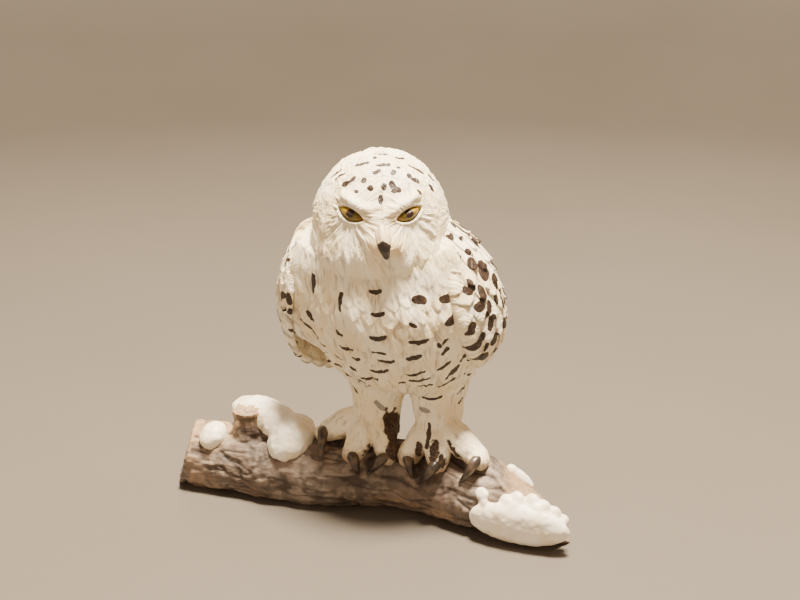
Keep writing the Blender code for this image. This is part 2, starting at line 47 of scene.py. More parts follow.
# Smooth profiles and seeded noise, all on arrays

def through(rows, place, column=1):  # smooth curve through the rows' values
    places = np.array([row[0] for row in rows], float)
    values = np.array([row[column] for row in rows], float)
    last = len(rows) - 1
    before = np.maximum(np.arange(last + 1) - 1, 0)
    after = np.minimum(np.arange(last + 1) + 1, last)
    slope = (values[after] - values[before]) / (places[after] - places[before])
    place = np.clip(place, places[0], places[-1])
    i = np.clip(np.searchsorted(places, place, side="right") - 1, 0, last - 1)
    span = places[i + 1] - places[i]
    t = (place - places[i]) / span
    start = (2 * t**3 - 3 * t**2 + 1) * values[i] + (t**3 - 2 * t**2 + t) * span * slope[i]
    return start + (3 * t**2 - 2 * t**3) * values[i + 1] + (t**3 - t**2) * span * slope[i + 1]


def ease(low, high, value):  # 0 below low, 1 above high, smooth between
    t = np.clip((value - low) / (high - low), 0.0, 1.0)
    return t * t * (3 - 2 * t)


def mound(distance, width):  # 1 in the middle, fading out over width
    return np.exp(-((distance / width) ** 2))


def lattice(cells, seed):  # one fixed random number from -1 to 1 for each whole-numbered cell
    mixed = np.zeros(len(cells), np.int64) + seed * 7919 + 17
    for axis, prime in enumerate((73856093, 19349663, 83492791)[: cells.shape[1]]):
        mixed = mixed ^ (cells[:, axis].astype(np.int64) * prime)
    mixed = (mixed ^ (mixed >> 13)) * 1274126177
    mixed = mixed ^ (mixed >> 16)
    return (mixed & 0xFFFF) / 32767.5 - 1.0


def cloud(places, seed=0):  # smooth noise from -1 to 1, lumps one unit across
    corner = np.floor(places)
    t = places - corner
    t = t * t * (3 - 2 * t)
    total = np.zeros(len(places))
    for k in range(2 ** places.shape[1]):
        offset = np.array([(k >> axis) & 1 for axis in range(places.shape[1])])
        weight = np.prod(np.where(offset == 1, t, 1 - t), axis=1)
        total += weight * lattice(corner + offset, seed)
    return total


def rough(places, seed=0, layers=3):  # several sizes of cloud on each other
    total = np.zeros(len(places))
    for k in range(layers):
        total += cloud(places * 2**k + 7.3 * k, seed + k) / 2**k
    return total / 1.6


def pairs(*columns):
    return np.stack(np.broadcast_arrays(*columns), -1)


# Meshes: made by operators, then moved as arrays of millimetres in the part's own layout

def addSphere(name, segments, rings):
    bpy.ops.object.select_all(action="DESELECT")
    bpy.ops.mesh.primitive_uv_sphere_add(segments=segments, ring_count=rings, radius=1.0)
    piece = bpy.context.active_object
    piece.name = name
    piece.data.name = name
    return piece


def pointsOf(piece):
    flat = np.empty(len(piece.data.vertices) * 3)
    piece.data.vertices.foreach_get("co", flat)
    return flat.reshape(-1, 3)


def layoutOf(piece):
    return pointsOf(piece) / mm - rowShift


def movePoints(piece, places):
    piece.data.vertices.foreach_set("co", ((places + rowShift) * mm).ravel())
    piece.data.update()


def normalsOf(piece):
    flat = np.empty(len(piece.data.vertices) * 3)
    piece.data.vertex_normals.foreach_get("vector", flat)
    return flat.reshape(-1, 3)


def keep(piece, **values):  # per-point numbers that the paint reads
    for name, numbers in values.items():
        attribute = piece.data.attributes.new(name, "FLOAT", "POINT")
        attribute.data.foreach_set("value", np.ascontiguousarray(numbers, np.float32))


def keepFlow(piece, across, along, patch=0.0):  # millimetres across and along the strands
    attribute = piece.data.attributes.new("flow", "FLOAT_VECTOR", "POINT")
    attribute.data.foreach_set("vector", pairs(across, along, patch).astype(np.float32).ravel())


def streaks(across, along, seed, fine=0.55):  # strands, from millimetres across and along them
    return rough(pairs(across / fine, along / (3.2 * fine)), seed, 2)


def applyModifier(piece, kind, **settings):
    bpy.ops.object.select_all(action="DESELECT")
    bpy.context.view_layer.objects.active = piece
    piece.select_set(True)
    modifier = piece.modifiers.new(kind.lower(), kind)
    for name, value in settings.items():
        setattr(modifier, name, value)
    bpy.ops.object.modifier_apply(modifier=modifier.name)


def smooth(piece):
    piece.data.polygons.foreach_set("use_smooth", [True] * len(piece.data.polygons))
    piece.data.update()


def sampled(path, radii, count):
    path = np.array(path, float)
    steps = np.linspace(0, len(path) - 1, count)
    rows = [(i, *point, radius) for i, (point, radius) in enumerate(zip(path, radii))]
    return np.stack([through(rows, steps, k) for k in (1, 2, 3)], -1), through(rows, steps, 4)


def addTube(name, path, radii, count=16, sides=5):  # a curve with its own thickness, made a mesh
    places, thick = sampled(path, radii, count)
    curve = bpy.data.curves.new(name, "CURVE")
    curve.dimensions = "3D"
    curve.bevel_depth = mm
    curve.bevel_resolution = sides
    curve.use_fill_caps = True
    spline = curve.splines.new("POLY")
    spline.points.add(count - 1)
    for point, place, radius in zip(spline.points, (places + rowShift) * mm, thick):
        point.co = (*place, 1.0)
        point.radius = radius
    tube = bpy.data.objects.new(name, curve)
    bpy.context.scene.collection.objects.link(tube)
    bpy.ops.object.select_all(action="DESELECT")
    bpy.context.view_layer.objects.active = tube
    tube.select_set(True)
    bpy.ops.object.convert(target="MESH")
    return bpy.context.active_object


def addBall(name, centre, axes, radii, segments=32, rings=20):
    ball = addSphere(name, segments, rings)
    movePoints(ball, np.array(centre) + (pointsOf(ball) * np.array(radii)) @ np.array(axes, float))
    return ball


def melt(name, shapes, voxel, rounds=4):  # shapes made one skin
    bpy.ops.object.select_all(action="DESELECT")
    for shape in shapes:
        shape.select_set(True)
    bpy.context.view_layer.objects.active = shapes[0]
    if len(shapes) > 1:
        bpy.ops.object.join()
    piece = bpy.context.active_object
    piece.name = name
    piece.data.name = name
    applyModifier(piece, "REMESH", mode="VOXEL", voxel_size=voxel * mm)
    if rounds:
        applyModifier(piece, "SMOOTH", factor=0.5, iterations=rounds)
    smooth(piece)
    return piece


# The owl's places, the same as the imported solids'

log = {
    "length": 64.1,
    "middle": -3.85,
    "radius": 6.7,
    "flat": 0.9,
    "rows": [  # share of the length, sideways, share of the radius
        (-0.064, 8.4, 0.93), (0.204, 2.2, 0.97), (0.423, -2.6, 0.98), (0.593, -2.6, 0.95),
        (0.727, -6.0, 0.96), (0.873, -12.4, 1.01), (0.995, -15.6, 1.00), (1.153, -17.0, 0.98),
    ],
    "slants": {-1: 16.0, 1: -48.5},
    "stub": 13.3,
    "stubHeight": 10.4,
    "stubRadii": (4.1, 2.9),
}
owl = {
    "x": 6.2,
    "yaw": -15.0,
    "legHeight": 11.8,
    "lean": (-4.8, -2.2),
    "height": 34.0,
    "width": 31.0,
    "front": 14.2,
    "back": 13.2,
    "girth": [(0.0, 1.5), (0.08, 1.3), (0.24, 1.04), (0.5, 1.0), (0.68, 0.93), (0.82, 0.84), (1.0, 0.8)],
    "head": (21.0, 22.8, 11.0, 11.2),  # height, width, front, back
    "headTurn": (0.1, -1.2),
    "neck": 11.6,
    "headGirth": [(0.0, 1.4), (0.18, 1.26), (0.35, 1.06), (0.5, 1.0), (0.75, 0.96), (1.0, 0.94)],
    "eye": (5.0, 1.9, 0.6),  # spread, rise, how proud
    "eyeRadii": (2.4, 1.9, 1.35),
    "reach": 14.5,  # from the middle of the body to its surface, about
    "headReach": 10.5,
}


def logShare(x):
    return (x - (log["middle"] - log["length"] / 2)) / log["length"]


def logRadius(x):
    return log["radius"] * through(log["rows"], logShare(x), 2)


def logAxis(x):
    x = np.asarray(x, float)
    return pairs(x, through(log["rows"], logShare(x)), logRadius(x) - log["flat"])


def logFrame(x):  # axis point, the level direction along it and the one out of its front
    along = logAxis(x + 0.5) - logAxis(x - 0.5)
    along[..., 2] = 0
    along = along / np.linalg.norm(along, axis=-1, keepdims=True)
    front = pairs(along[..., 1], -along[..., 0], 0 * along[..., 0])
    return logAxis(x), along, front


def roundLog(x, angle, standOff, side=1):  # over the bark, angle from the top to the front
    turn = math.radians(angle)
    station = x
    for _ in range(4):
        centre, _, front = logFrame(station)
        out = front * side * math.sin(turn) + np.array([0, 0, math.cos(turn)])
        point = centre + out * (logRadius(station) + standOff)
        station += x - point[0]
    return point


def turned(x, y):  # the owl stands turned on its perch
    yaw = math.radians(owl["yaw"])
    return pairs(math.cos(yaw) * x - math.sin(yaw) * y, math.sin(yaw) * x + math.cos(yaw) * y, 0 * x)


bodyBase = logAxis(owl["x"]) + np.array([0, 0, float(logRadius(owl["x"])) + owl["legHeight"]])


def bodyAxis(share):
    return bodyBase + np.asarray(share)[..., None] * np.array([*owl["lean"], owl["height"]])


def bodyPlace(n):
    share = (n[:, 2] + 1) / 2
    girth = through(owl["girth"], share)
    depth = np.where(n[:, 1] < 0, owl["front"], owl["back"])
    return bodyAxis(share) + turned(n[:, 0] * owl["width"] / 2 * girth, n[:, 1] * depth * girth)


headBottom = bodyAxis(1.0) + np.array([*owl["headTurn"], -owl["neck"]])
headMiddle = headBottom + np.array([0, 0, owl["head"][0] / 2])


def headPlace(n):
    height, width, front, back = owl["head"]
    share = (n[:, 2] + 1) / 2
    girth = through(owl["headGirth"], share)
    depth = np.where(n[:, 1] < 0, front, back)
    return headBottom + pairs(n[:, 0] * width / 2 * girth, n[:, 1] * depth * girth, height * share)


wing = {
    "top": 0.93,
    "thick": 6.0,
    "stand": 1.4,
    "drop": {1: 29.2, -1: 31.6},
    "swing": {1: -1.6, -1: -2.8},
    "rows": [  # share down, front edge, rear edge (degrees from the front), outward
        (0.00, 75.0, 125.0, 0.50), (0.15, 58.0, 150.0, 0.79), (0.40, 56.0, 166.0, 0.99),
        (0.65, 60.0, 173.0, 1.03), (0.88, 70.0, 175.0, 0.94), (1.00, 84.0, 172.0, 0.80),
    ],
}


def wingPlace(n, side):
    down = (1 - n[:, 2]) / 2
    share = wing["top"] - down * wing["drop"][side] / owl["height"]
    level = np.hypot(n[:, 0], n[:, 1])
    blunt = level**0.7 / np.maximum(level, 1e-6)
    front, rear = through(wing["rows"], down, 1), through(wing["rows"], down, 2)
    turn = np.radians((front + rear) / 2 + n[:, 1] * blunt * (rear - front) / 2)
    outer = through(wing["rows"], down, 3)
    stand = wing["stand"] + n[:, 0] * blunt * wing["thick"] / 2
    wide = owl["width"] / 2 * outer + stand
    deep = np.where(np.cos(turn) < 0, owl["back"], owl["front"]) * outer + stand
    places = bodyAxis(share) + turned(side * np.sin(turn) * wide, -np.cos(turn) * deep)
    places[:, 0] += wing["swing"][side] * down
    return places


def bodyDistance(places):  # about how far outside the body a point is
    share = (places[:, 2] - bodyBase[2]) / owl["height"]
    offset = places - bodyAxis(share)
    yaw = math.radians(owl["yaw"])
    x = math.cos(yaw) * offset[:, 0] + math.sin(yaw) * offset[:, 1]
    y = math.cos(yaw) * offset[:, 1] - math.sin(yaw) * offset[:, 0]
    girth = through(owl["girth"], share)
    depth = np.where(y < 0, owl["front"], owl["back"]) * girth
    size = np.sqrt((x / (owl["width"] / 2 * girth)) ** 2 + (y / depth) ** 2 + (2 * share - 1) ** 2)
    return (size - 1) * owl["reach"]


def headDistance(places):
    height, width, front, back = owl["head"]
    x, y, z = (places - headBottom).T
    share = z / height
    girth = through(owl["headGirth"], share)
    depth = np.where(y < 0, front, back) * girth
    size = np.sqrt((x / (width / 2 * girth)) ** 2 + (y / depth) ** 2 + (2 * share - 1) ** 2)
    return (size - 1) * owl["headReach"]


def fillet(distance, size):  # how far a surface swells where another one meets it
    return np.clip(size - np.abs(distance), 0, None) ** 2 / (4 * size)


def eyeFrame(side, slant):  # middle of an eye, and the directions outwards from the beak, out and up
    height, width = owl["head"][:2]
    spread, rise, proud = owl["eye"]
    n = np.array([[side * spread / (width / 2), 0, rise / (height / 2)]])
    n[0, 1] = -math.sqrt(1 - n[0, 0] ** 2 - n[0, 2] ** 2)
    surface = headPlace(n)[0]
    out = surface - headMiddle
    out = out / np.linalg.norm(out)
    across = np.cross([0, 0, 1], out)
    across = side * across / np.linalg.norm(across)
    up = np.cross(out, across) * side
    turn = math.radians(slant)
    middle = surface + out * (proud - owl["eyeRadii"][1])
    slanted = across * math.cos(turn) + up * math.sin(turn)
    return middle, slanted, out, up * math.cos(turn) - across * math.sin(turn)


low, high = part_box("left_eye")
rowShift = np.array((low + high) / 2) / mm - eyeFrame(1, 0)[0]
print("owl: layout moved by", np.round(rowShift, 2))


# Feathers and painted marks

def shingles(u, v, turns, seed, reach=2.2, wide=0.62, blunt=0.4, jitter=0.15):
    # u counts feathers across, v rows down. The row above lies on the row below.
    coat = {name: np.zeros(len(u)) for name in ("lift", "share", "side", "chance", "edge")}
    found = np.zeros(len(u), bool)
    for back in (2, 1, 0):
        row = np.floor(v) - back
        stagger = 0.5 * (row % 2)
        for k in (-1, 0, 1):
            column = np.floor(u - stagger) + k
            cell = pairs(column % turns if turns else column, row)
            middle = column + 0.5 + stagger + jitter * lattice(cell, seed)
            length = reach * (1 + 0.1 * lattice(cell, seed + 2))
            share = (v - row - jitter * lattice(cell, seed + 1)) / length
            past = np.clip(share - blunt, 0, None) / (1 - blunt)
            half = wide * np.sqrt(np.clip(1 - past**2, 0.0, 1.0)) + 1e-6
            side = (u - middle) / half
            here = (share > 0) & (share < 1) & (np.abs(side) < 1) & ~found
            coat["lift"][here] = (np.maximum(share, 0) ** 1.3 * (1 - 0.3 * side**2))[here]
            coat["share"][here] = share[here]
            coat["side"][here] = ((u - middle) / wide)[here]
            coat["chance"][here] = lattice(cell, seed + 3)[here]
            coat["edge"][here] = np.minimum(1 - np.abs(side), (1 - share) * 2.5)[here]
            found |= here
    return coat


brush = {"longer": 1.15, "wider": 1.22, "taper": 0.35, "lean": 0.15}


def distanceToMarks(places, marks, spot, bolder):
    # Each mark: place on the piece, length, width, turn (right end up), how far its ends curl up.
    nearest = np.full(len(places), 9.0)
    for first, second, length, width, turn, curl in marks:
        length, width = length * brush["longer"], width * brush["wider"] + bolder
        centre, right, up = spot(first, second)
        offset = places - centre
        near = np.einsum("ij,ij->i", offset, offset) < (length + 1.5) ** 2
        x, y = offset[near] @ right, offset[near] @ up
        c, s = math.cos(math.radians(turn)), math.sin(math.radians(turn))
        x, y = x * c + y * s, y * c - x * s
        share = np.clip(2 * x / length, -1, 1)
        y = y - curl * (share**2 - 0.3)
        half = width / 2 * (1 - brush["taper"] * np.abs(share) + brush["lean"] * share)
        reach = np.maximum(length / 2 - width / 2, 0.0)
        distance = np.hypot(np.maximum(np.abs(x) - reach, 0), y) - half
        nearest[near] = np.minimum(nearest[near], distance)
    return nearest


def spotOn(place, n):  # centre, rightwards and up on a placed sphere
    step = 0.02
    centre = place(n(0.0, 0.0))[0]
    right = place(n(step, 0.0))[0] - place(n(-step, 0.0))[0]
    up = place(n(0.0, step))[0] - place(n(0.0, -step))[0]
    right = right / np.linalg.norm(right)
    up = up - right * (up @ right)
    return centre, right, up / np.linalg.norm(up)


def roundSpot(place):  # for marks given by azimuth from the front and share of the height
    def spot(azimuth, share):
        def n(right, up):
            height = 2 * (share + up) - 1
            level = math.sqrt(max(1 - height**2, 1e-4))
            turn = math.radians(azimuth) + right
            return np.array([[math.sin(turn) * level, -math.cos(turn) * level, height]])
        return spotOn(place, n)
    return spot


def wingSpot(side):  # for marks given by place from front to rear edge and share down
    def spot(across, down):
        def n(right, up):
            height = 1 - 2 * (down - up)
            level = math.sqrt(max(1 - height**2, 1e-4))
            front = across + right * side
            outward = 1 if front > -1 else -1  # past the front edge, on the inner side
            front = np.clip(front if front > -1 else -2 - front, -0.998, 0.998)
            return np.array([[outward * math.sqrt(1 - front**2) * level, front * level, height]])
        return spotOn(lambda point: wingPlace(point, side), n)
    return spot


def featherArcs(coat, wide, long, width, amount):  # one painted arc near the tip of some feathers
    x = coat["side"] * wide
    y = (coat["share"] - 0.8) * long + 0.35 * x**2
    drawn = np.hypot(np.maximum(np.abs(x) - wide * 0.35, 0), y) - width
    return np.where(coat["chance"] < amount * 2 - 1, drawn, 2.0)


def crowded(n, amount):  # more of a sphere's points towards its front
    azimuth = np.arctan2(n[:, 0], -n[:, 1])
    azimuth = azimuth - amount * np.sin(azimuth)
    level = np.hypot(n[:, 0], n[:, 1])
    return np.stack([np.sin(azimuth) * level, -np.cos(azimuth) * level, n[:, 2]], -1), azimuth


# Body

body = {
    "segments": 420,
    "rings": 232,
    "feather": (2.7, 2.5),  # across, down, mm
    "turns": 36,  # feathers all the way round
    "radius": 15.0,
    "lift": 0.42,
    "groove": 0.2,
    "tuft": 0.22,
    "streak": 0.15,
    "belly": (0.30, 0.13, 0.4),  # share of the height, how tall, how proud
    "fillets": {"head": 6.0, "wing": 3.2, "leg": 3.5},
    "bolder": 0.28,
    "swells": [  # shoulders and flanks: azimuth, share, how proud, breadth, height
        (-72, 0.72, 2.0, 26, 0.14), (-82, 0.53, 3.8, 24, 0.17), (-86, 0.37, 3.4, 22, 0.1),
        (-103, 0.32, 4.2, 20, 0.1), (66, 0.74, 1.5, 20, 0.15), (72, 0.56, 1.6, 18, 0.16),
        (-25, 0.78, 0.5, 24, 0.1), (30, 0.78, 0.5, 24, 0.1),
    ],
    "marks": [
        (4, 0.64, 2.2, 0.45, 4, 0.35), (7, 0.645, 0.4, 0.3, 0, 0), (4, 0.53, 2.5, 0.5, 8, 0.3),
        (2, 0.41, 2.9, 0.65, 3, 0.45), (1, 0.33, 2.4, 0.28, 0, -0.1), (4, 0.28, 2.8, 0.55, -3, 0.15),
        (-3, 0.21, 3.2, 0.42, 5, 0.4), (32, 0.60, 2.8, 1.15, -8, -0.2), (51, 0.59, 3.0, 1.1, 3, 0.3),
        (49, 0.48, 2.2, 1.05, 30, 0.2), (53, 0.515, 1.9, 0.5, 62, 0.1), (25, 0.48, 1.6, 0.38, -25, 0.1),
        (27, 0.39, 3.3, 0.5, 5, 0.6), (41, 0.36, 1.2, 0.35, -60, 0), (45, 0.375, 1.6, 0.3, 50, 0),
        (45, 0.32, 1.9, 0.5, 48, 0.1), (23, 0.30, 2.7, 0.65, 12, 0.2), (-21, 0.57, 3.3, 0.6, 84, -0.35),
        (-45, 0.62, 3.2, 0.6, 86, 0.15), (-26, 0.40, 1.7, 0.5, -28, 0.1), (-24, 0.32, 2.8, 0.38, -12, 0.2),
        (-39, 0.24, 2.0, 0.42, -28, 0.1), (-18, 0.27, 1.8, 0.38, 8, 0.2), (-26, 0.19, 1.7, 0.4, -14, 0.1),
        (-17, 0.15, 2.6, 0.3, -5, 0.2), (-8, 0.155, 1.3, 0.28, 25, 0.1), (45, 0.23, 2.7, 0.35, 35, 0.1),
        (53, 0.18, 3.4, 0.62, 48, 0.2), (23, 0.20, 3.2, 0.25, 10, 0.2), (26, 0.16, 3.6, 0.3, 3, 0.35),
        (30, 0.12, 2.6, 0.25, 0, 0.3), (-25, 0.10, 2.6, 0.42, -25, 0.2), (-32, 0.07, 2.2, 0.3, -35, 0.1),
        (12, 0.14, 1.4, 0.25, 15, 0.1), (56, 0.13, 2.0, 0.4, 40, 0.2), (48, 0.10, 2.2, 0.35, 30, 0.2),
        (-64, 0.61, 2.7, 0.55, -65, 0.1), (-51, 0.45, 2.3, 0.7, -42, 0.1), (-55, 0.38, 4.0, 0.25, -52, -0.4),
        (-53, 0.30, 2.2, 0.25, -40, 0.1), (-46, 0.17, 1.6, 0.4, -30, 0.1), (-55, 0.22, 1.2, 0.4, -50, 0),
        (-40, 0.13, 2.0, 0.3, -30, 0.1), (63, 0.25, 2.2, 0.5, 45, 0.1), (62, 0.34, 1.8, 0.4, 50, 0.1),
    ],
}


def bodyMeetsWings(azimuth, share):  # the body swells towards the front edge of each wing
    swell = 0
    for side in (1, -1):
        down = np.clip((wing["top"] - share) * owl["height"] / wing["drop"][side], 0, 1)
        front, rear = through(wing["rows"], down, 1), through(wing["rows"], down, 2)
        edge = (front + rear) / 2 - 0.86 * (rear - front) / 2
        beyond = (edge - side * np.degrees(azimuth)) * 0.27  # in mm
        beyond = np.where(side * azimuth > 0, beyond, 9.0)
        swell = swell + fillet(beyond, body["fillets"]["wing"]) * ease(1.0, 0.93, down)
    return swell * ease(0.02, 0.12, share)


def bodyMeetsLegs(places):
    swell = 0
    for side in (1, -1):
        foot, top = anklePlace(side), legTop(side)
        share = np.clip((places[:, 2] - foot[2]) / (top[2] - foot[2]), 0, 2)
        middle = foot + share[:, None] * (top - foot)
        away = np.hypot(*(places - middle)[:, :2].T) - legs["topRadius"]
        swell = swell + fillet(away, body["fillets"]["leg"]) * ease(12.0, 6.0, places[:, 2] - top[2])
    return swell


def makeBody():
    piece = addSphere("owlBody", body["segments"], body["rings"])
    n, azimuth = crowded(pointsOf(piece), 0.35)
    share = (n[:, 2] + 1) / 2
    places = bodyPlace(n)
    movePoints(piece, places)
    out = normalsOf(piece)
    wide, down = body["feather"]
    wobble = pairs(azimuth * 4, share * 8)
    u = azimuth / (2 * math.pi) * body["turns"] + 0.25 * cloud(wobble, 3)
    v = (1 - share) * owl["height"] / down + 0.3 * cloud(wobble, 5)
    coat = shingles(u, v, body["turns"], 11)
    front = ease(1.5, 0.8, np.abs(azimuth))
    belly = 1 - front * ease(0.42, 0.66, share)
    groove = rough(pairs(azimuth * 26 + 0.6 * cloud(wobble * 2, 8), share * 7), 21, 2)
    tuft = cloud(pairs(azimuth * 9, share * 6), 31)
    height = body["lift"] * (coat["lift"] - 0.45) * (0.3 + 0.7 * belly)
    height += body["groove"] * groove * (0.6 + 0.4 * front) + body["tuft"] * tuft
    rise, tall, amount = body["belly"]
    height += amount * mound(share - rise, tall) * front
    turn = np.degrees(azimuth)
    for middle, rise, amount, breadth, tall in body["swells"]:
        height += amount * mound(turn - middle, breadth) * mound(share - rise, tall)
    height += fillet(headDistance(places), body["fillets"]["head"])
    height += bodyMeetsWings(azimuth, share) + bodyMeetsLegs(places)
    sweep = azimuth * body["radius"] + 0.6 * cloud(wobble * 2, 9)
    streak = streaks(sweep, (1 - share) * owl["height"], 23)
    height += body["streak"] * streak
    keepFlow(piece, sweep, (1 - share) * owl["height"])
    relief = 0.5 + 0.55 * (coat["lift"] - 0.5) * (0.25 + 0.75 * belly) + 0.3 * groove + 0.25 * streak
    keep(piece, relief=relief)
    drawn = distanceToMarks(places, body["marks"], roundSpot(bodyPlace), body["bolder"])
    behind = featherArcs(coat, wide * 0.5, down * 2.2, 0.24, 0.75)
    keep(piece, mark=np.where(np.abs(azimuth) < 1.15, drawn, np.minimum(drawn, behind)))
    movePoints(piece, places + out * height[:, None])
    smooth(piece)
    return piece


# Head: brow, eye sockets, the ridge down to the beak, face strands, crown feathers and ruff

head = {
    "segments": 460,
    "rings": 212,
    "eyeSlant": 19.0,
    "socket": (2.5, 0.75, 1.25),  # half length, height over and under the middle line
    "socketDepth": 1.3,
    "eyeProud": 1.55,
    "lidRim": 0.14,
    "brow": 0.85,
    "underEye": 0.55,
    "bristles": 1.0,
    "faceStrands": 0.24,
    "crown": 0.3,
    "ruff": 0.85,
    "beard": 0.24,
    "streak": 0.13,
    "bodyFillet": (4.5, 3.5),  # all round, and so much more in front
    "bolder": 0.36,
    "marks": [
        (-33, 0.93, 2.6, 0.38, 32, 0.1), (-69, 0.83, 2.9, 0.22, 62, 0.1), (-55, 0.83, 2.3, 0.38, 60, 0.1),
        (-40, 0.79, 1.5, 0.75, 30, 0.1), (-34, 0.82, 1.8, 0.42, 55, 0), (-19, 0.83, 1.2, 0.62, -38, 0.1),
        (-24, 0.75, 0.7, 0.5, 60, 0), (-10, 0.78, 1.2, 0.6, 85, 0), (-6, 0.885, 1.3, 0.5, 20, 0.3),
        (-2, 0.895, 0.8, 0.4, -20, 0), (4, 0.79, 1.4, 0.55, 80, 0), (1, 0.70, 1.8, 0.48, 86, 0),
        (18, 0.88, 1.4, 0.5, 66, 0), (14, 0.80, 2.0, 0.7, -72, 0.2), (18, 0.77, 1.4, 0.65, -30, 0.1),
        (14, 0.755, 0.9, 0.6, 80, 0), (2, 0.93, 2.0, 0.32, 2, 0), (14, 0.93, 0.9, 0.42, -20, 0),
        (2, 0.986, 2.0, 0.16, -3, -0.2), (46, 0.96, 1.4, 0.5, -30, 0.1), (55, 0.955, 0.8, 0.4, 30, 0),
        (30, 0.91, 0.5, 0.35, 70, 0), (58, 0.88, 3.0, 0.26, -52, 0.1), (38, 0.85, 1.1, 0.5, -50, 0.1),
        (42, 0.82, 1.7, 0.5, -25, 0.2), (45, 0.80, 0.9, 0.45, 60, 0), (40, 0.73, 1.3, 0.6, -70, 0),
        (61, 0.74, 1.7, 0.35, -76, 0), (72, 0.80, 1.6, 0.35, -70, 0), (-14, 0.97, 0.8, 0.3, 20, 0),
    ],
}


def makeHead():
    piece = addSphere("owlHead", head["segments"], head["rings"])
    n, azimuth = crowded(pointsOf(piece), 0.42)
    share = (n[:, 2] + 1) / 2
    places = headPlace(n)
    movePoints(piece, places)
    out = normalsOf(piece)
    x, y, z = (places - headMiddle).T
    front = ease(1.75, 1.1, np.abs(azimuth))
    midline = 0.3 - 0.17 * np.minimum(z - 0.5, 0)
    ridge = mound(x - midline, 1.35) * ease(4.2, 0.8, z) * ease(-5.6, -3.2, z) * front
    height = ridge * (0.75 + 0.75 * ease(0.5, -2.6, z))
    bristles = sum(mound(np.hypot(x - midline - 1.75 * side, (z + 2.9) * 0.62), 1.35) for side in (1, -1))
    bristles = bristles * front
    height += head["bristles"] * bristles
    strands, fanFlow, reachFlow = np.zeros((3, len(x)))
    lid = np.full(len(x), 9.0)
    for side in (1, -1):
        middle, across, ahead, up = eyeFrame(side, head["eyeSlant"])
        offset = places - middle
        p, q, depth = offset @ across, offset @ up, offset @ ahead
        near = (depth > -3.0) & (side * (x - midline) > -0.3)
        long, over, under = head["socket"]
        inside = np.clip(1 - (p / long) ** 2, 0, 1) ** 0.75
        rim = np.where(q > 0, over, under) * inside
        gap = np.where(np.abs(p) < long, np.abs(q) - rim, np.hypot(np.abs(p) - long, q))
        gap = np.where(near, gap, 9.0)
        lid = np.minimum(lid, gap)
        brow = mound(q - 1.75 - 0.05 * p, 0.85) * ease(3.9, 2.2, p) * ease(-4.2, -2.2, p) * near
        height += head["brow"] * brow + head["lidRim"] * mound(gap - 0.3, 0.28)
        height -= head["underEye"] * mound(np.hypot(p + 0.3, q + 2.6), 1.7) * near
        height -= head["socketDepth"] * ease(0.12, -0.16, gap)
        reach = np.hypot(p, q)
        fan = np.arctan2(q, p)
        drawn = rough(pairs(fan * 8.5 + 0.5 * cloud(pairs(p, q), 5), reach / 2.8), 40 + side, 2)
        strands = np.where(near, drawn * ease(1.6, 3.4, reach) * ease(11.5, 7.5, reach), strands)
        fanFlow = np.where(near, fan * 5.5, fanFlow)
        reachFlow = np.where(near, reach, reachFlow)
    disc = np.hypot(x * 0.98, z + 1.2)
    face = ease(9.4, 8.2, disc) * front
    height += 0.22 * mound(disc - 9.3, 0.8) * front * ease(6.0, 3.0, z)
    over = np.arctan2(z, -y)  # from the face up over the crown and down the nape
    crown = ease(4.4, 6.2, z) * front + (1 - front)
    crown = np.clip(crown, 0, 1) * (1 - face)
    u = x / 1.55 + 0.25 * cloud(places / 2.2, 6)
    v = over * 10.6 / 1.45 + 0.3 * cloud(places / 2.0, 7)
    coat = shingles(u, v, 0, 51)
    skirt = ease(-4.2, -7.5, z)
    row = (1 - share) * 8.5 + 0.3 * cloud(places / 2.5, 9)
    ruffle = shingles(azimuth / (2 * math.pi) * 34, row, 34, 61, reach=2.4)
    chin = mound(azimuth, 0.85)
    hang = rough(pairs(azimuth * 17 + 0.5 * cloud(places / 1.8, 12), share * 5), 71, 2)
    height += head["crown"] * (coat["lift"] - 0.4) * crown * (1 - skirt)
    height += head["faceStrands"] * strands * face * (1 - 0.6 * bristles)
    height += head["ruff"] * skirt * (1 - 0.75 * chin) * (ruffle["lift"] - 0.4)
    height += head["beard"] * hang * ease(-3.0, -5.5, z)
    height += 0.11 * rough(places / 0.7, 15, 2) * crown + 0.2 * cloud(places / 2.4, 19) * (1 - face)
    around, more = head["bodyFillet"]
    height += fillet(bodyDistance(places), around + more * mound(azimuth, 1.4))
    onFace, hanging = face > 0.5, (skirt > 0.5) | (chin > 0.5)
    patch = np.where(onFace, np.where(x > midline, 20.0, 40.0), np.where(skirt > 0.5, 60.0, 80.0))
    acrossFlow = np.where(onFace, fanFlow, np.where(hanging, azimuth * 11, x))
    alongFlow = np.where(onFace, reachFlow, np.where(hanging, -z, over * 10.6))
    keepFlow(piece, acrossFlow, alongFlow, patch)
    streak = streaks(acrossFlow + 0.3 * cloud(places / 1.5, 86), alongFlow, 85, 0.5) * ease(0.0, 0.3, lid)
    height += head["streak"] * streak
    relief = 0.55 + 0.25 * streak + 0.4 * (coat["lift"] - 0.5) * crown + 0.3 * strands * face
    relief += skirt * (1 - 0.75 * chin) * 0.5 * (ruffle["lift"] - 0.5) + 0.25 * hang * ease(-3.0, -5.5, z)
    drawn = distanceToMarks(places, head["marks"], roundSpot(headPlace), head["bolder"])
    x2, y2 = coat["side"] * 0.8, (coat["share"] - 0.75) * 3.0
    dash = np.hypot(x2, np.maximum(np.abs(y2) - 0.35, 0)) - 0.24
    dash = np.where((coat["chance"] > 0.45) & (z > -5.5), dash, 2.0)
    seen = (over < 1.75) | (np.abs(x) > 9.2)
    mark = np.where(seen, drawn, np.minimum(drawn, dash))
    keep(piece, relief=relief, lid=lid, bristle=bristles, mark=mark)
    movePoints(piece, places + out * height[:, None])
    smooth(piece)
    return piece


